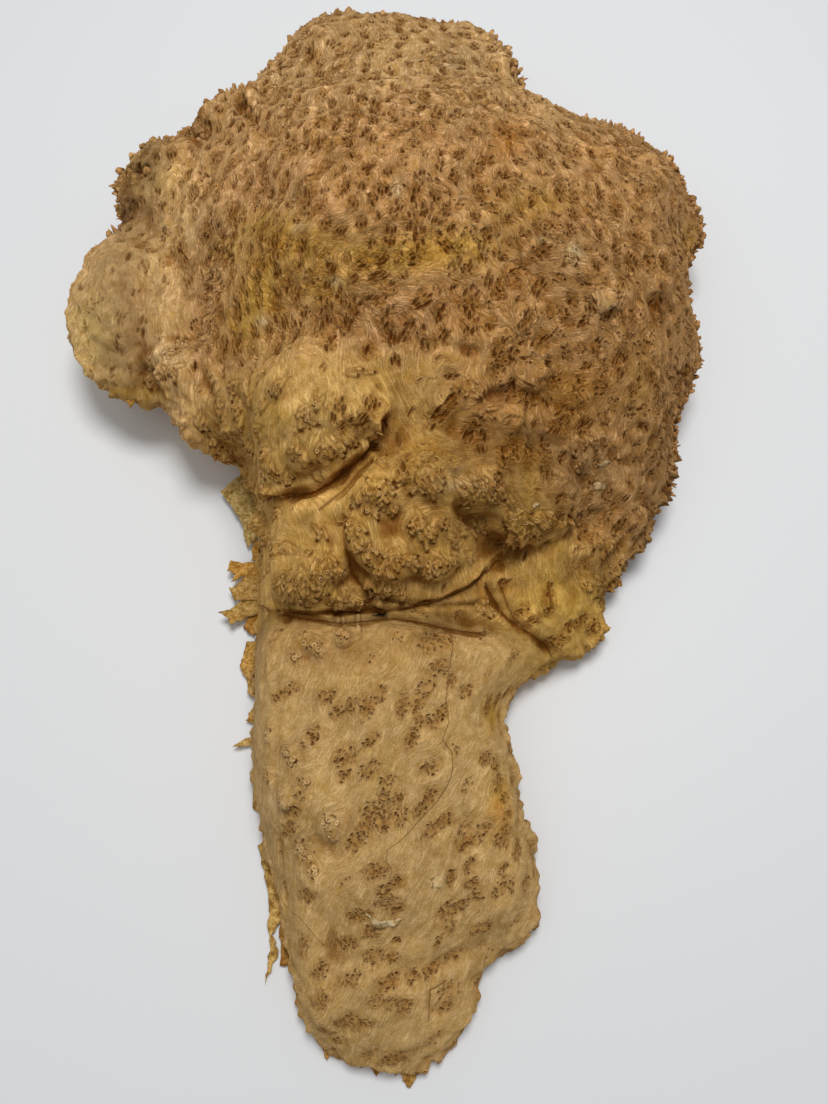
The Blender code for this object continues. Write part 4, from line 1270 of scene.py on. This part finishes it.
def floor_material():
    n = Nodes("pale_floor")
    n.shader.inputs["Base Color"].default_value = (0.785, 0.79, 0.79, 1)
    n.shader.inputs["Roughness"].default_value = 0.55
    return n.material


def growth_material(name, tip):
    """Wood of pips, spikes and torn flakes: dark where crest is below 0, painted shade at the feet and in
    the holes of the rings; the tip's colour where it is 1, a painted highlight where the tip is cream.
    """
    n = Nodes(name)
    wood = n.attribute("wood", "Color")
    grit = n.noise(n.position(), 1400.0, 2.0, 0.6)
    blotch = n.noise(n.position(), 330.0, 4.0, 0.7)
    crest = n.attribute("crest")
    tone = n.times(n.ramp(grit, 0.3, 0.7, 0.75, 1.2), n.ramp(blotch, 0.3, 0.7, 0.55, 1.3))
    colour = n.warmed(wood, tone, n.math("POWER", tone, 2.0))
    colour = n.mix(n.ramp(crest, 0.3, 1.0, 0.0, 0.35), colour, (*tip, 1))
    colour = n.mix(n.ramp(crest, -0.5, 0.35, 0.85, 0.0), colour, FOOT_COLOUR)
    n.shader.inputs["Specular IOR Level"].default_value = DULL
    return n.complete(colour, 0.70, n.plus(grit, blotch), 0.0007, 0.9)


# Pieces
def add_piece(name, mesh, material):
    """An object that rides the burl."""
    mesh.materials.append(material)
    piece = bpy.data.objects.new(name, mesh)
    bpy.context.scene.collection.objects.link(piece)
    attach(piece, "root")
    return piece


def mesh_piece(name, verts, faces, material, points, corners=None, normals=None):
    """A piece made of faces, with what its material needs at each point and each corner."""
    mesh = bpy.data.meshes.new(name)
    mesh.vertices.add(len(verts))
    mesh.vertices.foreach_set("co", np.asarray(verts, np.float32).ravel())
    mesh.loops.add(faces.size)
    mesh.loops.foreach_set("vertex_index", faces.astype(np.int32).ravel())
    mesh.polygons.add(len(faces))
    mesh.polygons.foreach_set("loop_start", np.arange(0, faces.size, 3, dtype=np.int32))
    mesh.update(calc_edges=True)
    mesh.shade_smooth()
    for domain, columns in (("POINT", points), ("CORNER", corners or {})):
        for key, values in columns.items():
            values = np.asarray(values, np.float32)
            kind, field_name = ("FLOAT", "value") if values.ndim == 1 else ("FLOAT_VECTOR", "vector")
            mesh.attributes.new(key, kind, domain).data.foreach_set(field_name, values.ravel())
    if normals is not None:
        mesh.normals_split_custom_set_from_vertices(normals.tolist())
    return add_piece(name, mesh, material)


def add_underside(skin):
    """The flat sawn face, inside the lowest line of the shell."""
    work = bmesh.new()
    verts = {i: work.verts.new(skin.verts[i]) for i in np.unique(skin.rim_edges).tolist()}
    rim = [work.edges.new((verts[a], verts[b])) for a, b in skin.rim_edges.tolist()]
    filled = bmesh.ops.edgeloop_fill(work, edges=rim)["faces"]
    turn_faces(filled, -1)
    bmesh.ops.triangulate(work, faces=filled)
    mesh = bpy.data.meshes.new("sawn_face")
    work.to_mesh(mesh)
    work.free()
    piece = add_piece("sawn_face", mesh, sawn_material())
    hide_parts("burl")


def turn_faces(faces, upwards):
    """Flips the faces that do not face up, or that do not face down if upwards is -1."""
    for face in faces:
        face.normal_update()
        if face.normal.z * upwards < 0:
            face.normal_flip()


RING_PROFILE = (
    (0, -0.7), (1.15, -0.7), (1.0, 0.0), (0.84, 0.40), (0.64, 0.62), (0.48, 0.56), (0.34, 0.25),
    (0.24, -0.10), (0, -0.2),
)
THORN_PROFILE = ((0, -0.5), (1.0, -0.5), (0.92, 0.0), (0.55, 0.42), (0.24, 0.78), (0, 1.0))
SCALE_PROFILE = ((0, -0.7), (1.0, -0.7), (0.95, 0.15), (0.74, 0.65), (0.36, 0.93), (0, 1.0))
RING_SIDES = 9
SPIKE_SIDES = 6
SCALE_TIP = (0.36, 0.17, 0.050)
RIM_TIP = (0.20, 0.09, 0.030)
# Teeth side by side at one place of the edge: width, length, how far along the edge
RIM_TEETH = ((0.0020, 0.0034, 0.0), (0.0014, 0.0028, 0.0020), (0.0012, 0.0022, -0.0018))


def revolved(profile, sides):
    """A closed lathe shape about Z from rows of radius and height, the first and last on the axis."""
    rows = [(r, z) for r, z in profile if r > 0]
    turns = [2 * math.pi * k / sides for k in range(sides)]
    verts = [(0.0, 0.0, profile[0][1])]
    for r, z in rows:
        verts += [(r * math.cos(turn), r * math.sin(turn), z) for turn in turns]
    verts.append((0.0, 0.0, profile[-1][1]))
    top = len(verts) - 1
    tris = []
    for k in range(sides):
        b = (k + 1) % sides
        tris.append((0, 1 + b, 1 + k))
        for row in range(len(rows) - 1):
            p, q = 1 + row * sides, 1 + (row + 1) * sides
            tris += [(p + k, p + b, q + b), (p + k, q + b, q + k)]
        last = 1 + (len(rows) - 1) * sides
        tris.append((last + k, last + b, top))
    return np.array(verts), np.array(tris)


def many(template, tris, places, ups, scales, sides, ragged):
    """Copies of a template in one mesh, each stood on its own direction, its X along its side."""
    ups = unit(ups)
    front = unit(np.cross(ups, sides))
    side = np.cross(front, ups)
    local = template[None] * scales[:, None, :]
    local = local * (1 + ragged * rng.normal(size=local.shape))
    verts = places[:, None]
    for axis, way in enumerate((side, front, ups)):
        verts = verts + local[:, :, axis, None] * way[:, None]
    faces = tris[None] + (np.arange(len(places)) * len(template))[:, None, None]
    return verts.reshape(-1, 3), faces.reshape(-1, 3)


def add_growths(name, profile, sides_round, tip, rows, ragged, surface, colour_at):
    """One piece made of many copies of a lathe shape, each in the colour of the wood where it stands."""
    shape, tris = revolved(profile, sides_round)
    crest = shape[:, 2] / shape[:, 2].max()
    # The hole of each ring is painted dark: painted shade.
    if profile is RING_PROFILE:
        crest[np.hypot(shape[:, 0], shape[:, 1]) < 0.3] = -0.5
    places = np.array([surface.find_nearest(Vector(r.place))[0] for r in rows])
    ups = column(rows, "lean")
    sides = rng.normal(size=ups.shape) if rows[0].side is None else column(rows, "side")
    verts, faces = many(shape, tris, places, ups, column(rows, "scale"), sides, ragged)
    verts[:, 2] = np.maximum(verts[:, 2], 0.0)
    colours = colour_at(places) * rng.uniform(0.85, 1.3, (len(places), 1))
    points = {"wood": np.repeat(colours, len(shape), axis=0), "crest": np.tile(crest, len(places))}
    mesh_piece(name, verts, faces, growth_material(name, tip), points)


def rim_spikes(teeth):
    """Flat pointed teeth along the edge."""
    rows = []
    for place, way, size in zip(teeth.place, teeth.way, teeth.size):
        tangent = np.array([-way[1], way[0], 0.0])
        for wide, long, offset in RIM_TEETH:
            if rng.random() > 0.25 + 0.5 * size:
                continue
            foot = place + tangent * (offset + rng.normal(0, 0.0007)) + way * 0.0006
            lean = way + np.array([0, 0, rng.normal(0.05, 0.35)]) + tangent * rng.normal(0, 0.40)
            width = wide * rng.uniform(0.6, 1.1)
            scale = (width, width * rng.uniform(0.30, 0.60), long * size * rng.uniform(0.5, 1.4))
            rows.append(Growth(foot, lean, scale, tangent))
    return rows


# Torn sheets along the left edge: height mm of the inner and the outer edge, colour, outline px
FLAKES = (
    (46, 40, (0.60, 0.30, 0.06), (
        (122, 380), (118, 392), (120, 397), (125, 400), (131, 409), (134, 402), (141, 398), (148, 382))),
    (45, 42, (0.60, 0.36, 0.12), ((150, 382), (151, 394), (155, 403), (156, 395), (162, 384))),
    (46, 42, (0.62, 0.42, 0.17), ((88, 362), (82, 370), (85, 377), (92, 373), (99, 366))),
    (9, 5, (0.62, 0.43, 0.15), (
        (262, 462), (238, 476), (226, 486), (220, 492), (229, 497), (231, 505), (236, 514), (243, 524),
        (243, 535), (248, 548), (255, 540), (264, 520))),
    (7, 4, (0.55, 0.30, 0.07), ((264, 540), (254, 541), (251, 550), (252, 560), (264, 566))),
    (6, 9, (0.57, 0.31, 0.07), (
        (262, 560), (247, 562), (230, 561), (235, 568), (227, 571), (236, 574), (231, 582), (243, 575),
        (250, 580), (263, 580))),
    (6, 8, (0.58, 0.34, 0.10), (
        (263, 572), (250, 575), (243, 578), (236, 585), (229, 588), (239, 592), (235, 600), (250, 600),
        (264, 600))),
    (5, 10, (0.56, 0.34, 0.10), (
        (262, 594), (245, 598), (236, 603), (230, 609), (219, 613), (228, 617), (230, 625), (240, 621),
        (250, 616), (264, 612))),
    (4, 3, (0.50, 0.24, 0.05), (
        (264, 608), (250, 614), (243, 626), (248, 632), (254, 636), (260, 628), (266, 618))),
    (4, 3, (0.60, 0.34, 0.09), (
        (266, 640), (256, 641), (246, 642), (244, 650), (241, 660), (240, 668), (244, 676), (248, 684),
        (258, 690), (268, 680))),
    (4, 6, (0.62, 0.40, 0.14), ((262, 684), (249, 685), (247, 692), (251, 697), (255, 692), (264, 694))),
    (4, 3, (0.58, 0.33, 0.09), ((266, 700), (256, 702), (250, 712), (246, 720), (254, 724), (266, 716))),
    (3, 5, (0.62, 0.40, 0.14), ((264, 734), (246, 738), (231, 747), (247, 746), (264, 746))),
    (3, 2, (0.60, 0.36, 0.12), (
        (268, 760), (254, 764), (250, 778), (254, 792), (252, 806), (258, 812), (270, 800))),
)
# The strip that hangs off lower down, and slivers at the tip of the stem
SLIVERS = (
    (3, 2, (0.62, 0.38, 0.11), (
        (268, 838), (258, 845), (264, 870), (268, 895), (270, 915), (267, 925), (270, 940), (268, 960),
        (266, 975), (265, 985), (268, 976), (272, 966), (277, 957), (279, 950), (275, 945), (273, 935),
        (277, 927), (286, 915), (284, 880), (276, 850))),
    (3, 2, (0.50, 0.25, 0.06), ((290, 915), (278, 928), (281, 945), (280, 966), (288, 965), (296, 950))),
    (3, 2, (0.55, 0.30, 0.08), (
        (396, 1066), (402, 1078), (406, 1088), (410, 1087), (416, 1076), (422, 1066))),
    (2, 2, (0.55, 0.30, 0.08), ((368, 1058), (372, 1070), (377, 1077), (381, 1068), (384, 1058))),
    (2, 2, (0.55, 0.30, 0.08), ((320, 1044), (324, 1056), (328, 1061), (331, 1052), (336, 1046))),
)
# Chips that lie on the skin: lift mm, colour, outline px
CHIPS = (
    (0.8, (0.56, 0.39, 0.19), ((592, 485), (598, 482), (606, 484), (607, 488), (600, 491), (593, 490))),
    (0.8, (0.58, 0.41, 0.20), ((597, 466), (604, 462), (611, 463), (603, 468))),
    (1.0, (0.60, 0.42, 0.21), ((532, 505), (537, 503), (539, 507), (534, 510))),
    (1.2, (0.64, 0.46, 0.23), (
        (366, 913), (372, 919), (381, 922), (392, 921), (402, 918), (395, 926), (381, 928), (371, 923))),
    (0.8, (0.60, 0.42, 0.19), ((430, 878), (440, 875), (446, 881), (441, 888), (432, 887))),
)
FLAKE_THICKNESS = 0.0008
FLAKE_TIP = (0.60, 0.36, 0.12)
BARE_FLAKE = (0.55, 0.32, 0.09)  # where a new point has no colour of its own


def once(items):
    """Each item once, in a fixed order, so that every run gives the same mesh."""
    return list(dict.fromkeys(items))


def add_sheet(work, tints, corners, tint, number):
    """One thin sheet between the corners, cut finely, with a ragged border and a rippled face."""
    sheet = work.faces.new([work.verts.new(c) for c in corners])
    cut = bmesh.ops.triangulate(work, faces=[sheet])
    edges = once(e for f in cut["faces"] for e in f.edges)
    for _ in range(2):
        split = bmesh.ops.subdivide_edges(work, edges=edges, cuts=1, use_grid_fill=True)
        inner = [v for v in split["geom_inner"] if isinstance(v, bmesh.types.BMVert)]
        around = [e for v in inner for f in v.link_faces for e in f.edges]
        edges = once(around + [e for e in edges if e.is_valid])
    for v in once(v for e in edges for v in e.verts):
        ragged = noise.noise_vector(v.co * 380 + Vector((number, 0, 0)))
        on_border = any(e.is_boundary for e in v.link_edges)
        v.co += Vector((ragged.x, ragged.y, 0)) * (0.0014 if on_border else 0.0005)
        v.co.z = max(v.co.z + 0.0010 * noise.noise(v.co * 110 + Vector((0, number, 0))), 0.0006)
        v[tints] = Vector(tint) * (0.95 + 0.35 * noise.noise(v.co * 300) + 0.25 * noise.noise(v.co * 80))


def sheet_corners(inner, outer, outline):
    """The outline in space, at the inner height by its first and last point and sloping away from them."""
    start = Vector(outline[0]).lerp(Vector(outline[-1]), 0.5)
    shares = [(Vector(p) - start).length for p in outline]
    heights = [inner + (outer - inner) * (share / max(shares)) ** 2 for share in shares]
    return [on_level(*p, MM * height) for p, height in zip(outline, heights)]


def add_torn_sheets(surface):
    """The torn flakes of the edge and the loose chips, as one piece of closed thin sheets."""
    sheets = [(sheet_corners(inner, outer, outline), tint)
              for inner, outer, tint, outline in FLAKES + SLIVERS]
    for lift, tint, outline in CHIPS:
        spots = [placed(surface, *p) for p in outline]
        if all(s is not None for s in spots):
            sheets.append(([Vector(s) + Vector((0, 0, MM * lift)) for s in spots], tint))
    work = bmesh.new()
    tints = work.verts.layers.float_vector.new("wood")
    for number, (corners, tint) in enumerate(sheets):
        add_sheet(work, tints, corners, tint, number)
    turn_faces(work.faces, 1)
    bmesh.ops.solidify(work, geom=list(work.faces), thickness=FLAKE_THICKNESS)
    work.verts.ensure_lookup_table()
    verts = np.array([v.co for v in work.verts])
    verts[:, 2] = np.maximum(verts[:, 2], 0.0)
    wood = np.array([v[tints] if v[tints].length > 0.01 else BARE_FLAKE for v in work.verts])
    bmesh.ops.triangulate(work, faces=work.faces)
    faces = np.array([[v.index for v in f.verts] for f in work.faces])
    work.free()
    points = {"wood": wood, "crest": np.full(len(verts), 0.3)}
    mesh_piece("torn_flakes", verts, faces, growth_material("torn_flakes", FLAKE_TIP), points)


def freedom(skin):
    """From 0 at the underside to 1, how far each point may move."""
    return smoothstep(0.0, STAND_BAND, skin.verts[:, 2])


def add_skin(skin, made, wood, eye, flow):
    """The skin as a few pieces of equal size, from the tip of the stem to the rear of the head."""
    head, knobs, stem = kinds(skin.verts)
    fur = 0.8 * head + 0.55 * knobs + 0.4 * stem - 0.1 * quiet(skin.verts)
    fibre = np.column_stack([flow, eye, fur])
    centres = skin.verts[skin.faces].mean(axis=1)
    owner = np.repeat(owner_of(made.spots, centres), 3)
    u, v = own_coordinates(made.spots, skin.verts[skin.faces.ravel()], owner)
    spot = np.column_stack([u, v, column(made.spots, "darkness")[owner]])
    crack_and_fold_shade = crack_and_fold_shade_columns(skin)
    normals = skin.normals()
    material = skin_material()
    order = np.argsort(centres[:, 1])
    for number, chosen in enumerate(np.array_split(order, math.ceil(len(order) / PIECE_TRIANGLES))):
        used, faces = np.unique(skin.faces[chosen], return_inverse=True)
        at = (chosen[:, None] * 3 + np.arange(3)).ravel()
        points = {"wood": wood[used], "fibre": fibre[used]}
        corners = {"spot": spot[at], "crack_and_fold_shade": crack_and_fold_shade[at]}
        name = f"burl_skin_{number + 1}"
        faces = faces.reshape(-1, 3)
        piece = mesh_piece(name, skin.verts[used], faces, material, points, corners, normals[used])
        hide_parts("burl")


def make_burl():
    skin = fine_skin(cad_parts["burl"])
    skin.verts += skin.normals() * (landmark_relief(skin) * freedom(skin))[:, None]
    made = grow_details(skin, skin.normals())
    skin = refined(skin, crowded(skin, made))
    normals = skin.normals()
    teeth = Teeth(skin, normals)
    move = normals * detail_relief(skin, made)[:, None] + teeth.shift(skin.verts, normals)
    skin.verts += move * freedom(skin)[:, None]
    skin.verts[:, 2] = np.maximum(skin.verts[:, 2], 0.0)
    flow = grain_flow(skin.verts, made)
    wood, eye = wood_colours(skin, made, flow, teeth.distance(skin.verts))
    add_skin(skin, made, wood, eye, flow)
    add_underside(skin)

    surface = skin.tree()
    tree = tree_of(skin.verts)

    def colour_at(places):
        return wood[[tree.find(p)[1] for p in places.tolist()]]

    def grow(name, profile, sides_round, tip, rows, ragged):
        add_growths(name, profile, sides_round, tip, rows, ragged, surface, colour_at)

    # The ring pips and eye spikes get cream tips, a painted highlight.
    grow("ring_pips", RING_PROFILE, RING_SIDES, CREAM, made.oval_rings(), 0.10)
    grow("eye_spikes", THORN_PROFILE, SPIKE_SIDES, CREAM, made.thorns, 0.15)
    grow("wall_scales", SCALE_PROFILE, SPIKE_SIDES, SCALE_TIP, made.scales, 0.15)
    add_torn_sheets(surface)
    grow("rim_spikes", THORN_PROFILE, SPIKE_SIDES, RIM_TIP, rim_spikes(teeth), 0.15)


# Stage
LIGHT_AIM = (0, 0, 0.05)
SKY = (0.93, 0.96, 1.0, 1)
SKY_STRENGTH = 0.32


def area_light(name, place, size, power):
    light = bpy.data.lights.new(name, "AREA")
    light.shape = "DISK"
    light.size = size
    light.energy = power
    obj = bpy.data.objects.new(name, light)
    obj.location = place
    obj.rotation_euler = (Vector(LIGHT_AIM) - Vector(place)).to_track_quat("-Z", "Y").to_euler()
    bpy.context.scene.collection.objects.link(obj)


def add_camera():
    camera = bpy.data.cameras.new("camera")
    camera.lens = LENS_MM
    camera.sensor_width = SENSOR_MM
    camera.sensor_fit = "AUTO"
    place, ahead, _, _ = camera_axes()
    obj = bpy.data.objects.new("camera", camera)
    obj.location = place
    obj.rotation_euler = Vector(ahead).to_track_quat("-Z", "Y").to_euler()
    bpy.context.scene.collection.objects.link(obj)
    bpy.context.scene.camera = obj


def make_stage():
    bpy.ops.mesh.primitive_plane_add(size=8, location=(0, 0, 0))
    floor = bpy.context.object
    floor.name = "floor"
    floor.data.materials.append(floor_material())
    area_light("key", (0.12, 0.45, 1.7), 0.75, 20)
    area_light("fill", (-0.9, -0.5, 1.8), 1.6, 3)
    world = bpy.data.worlds.new("soft")
    world.use_nodes = True
    background = world.node_tree.nodes["Background"]
    background.inputs["Color"].default_value = SKY
    background.inputs["Strength"].default_value = SKY_STRENGTH
    bpy.context.scene.world = world
    add_camera()
    bpy.context.scene.view_settings.view_transform = "Standard"


make_burl()
make_stage()
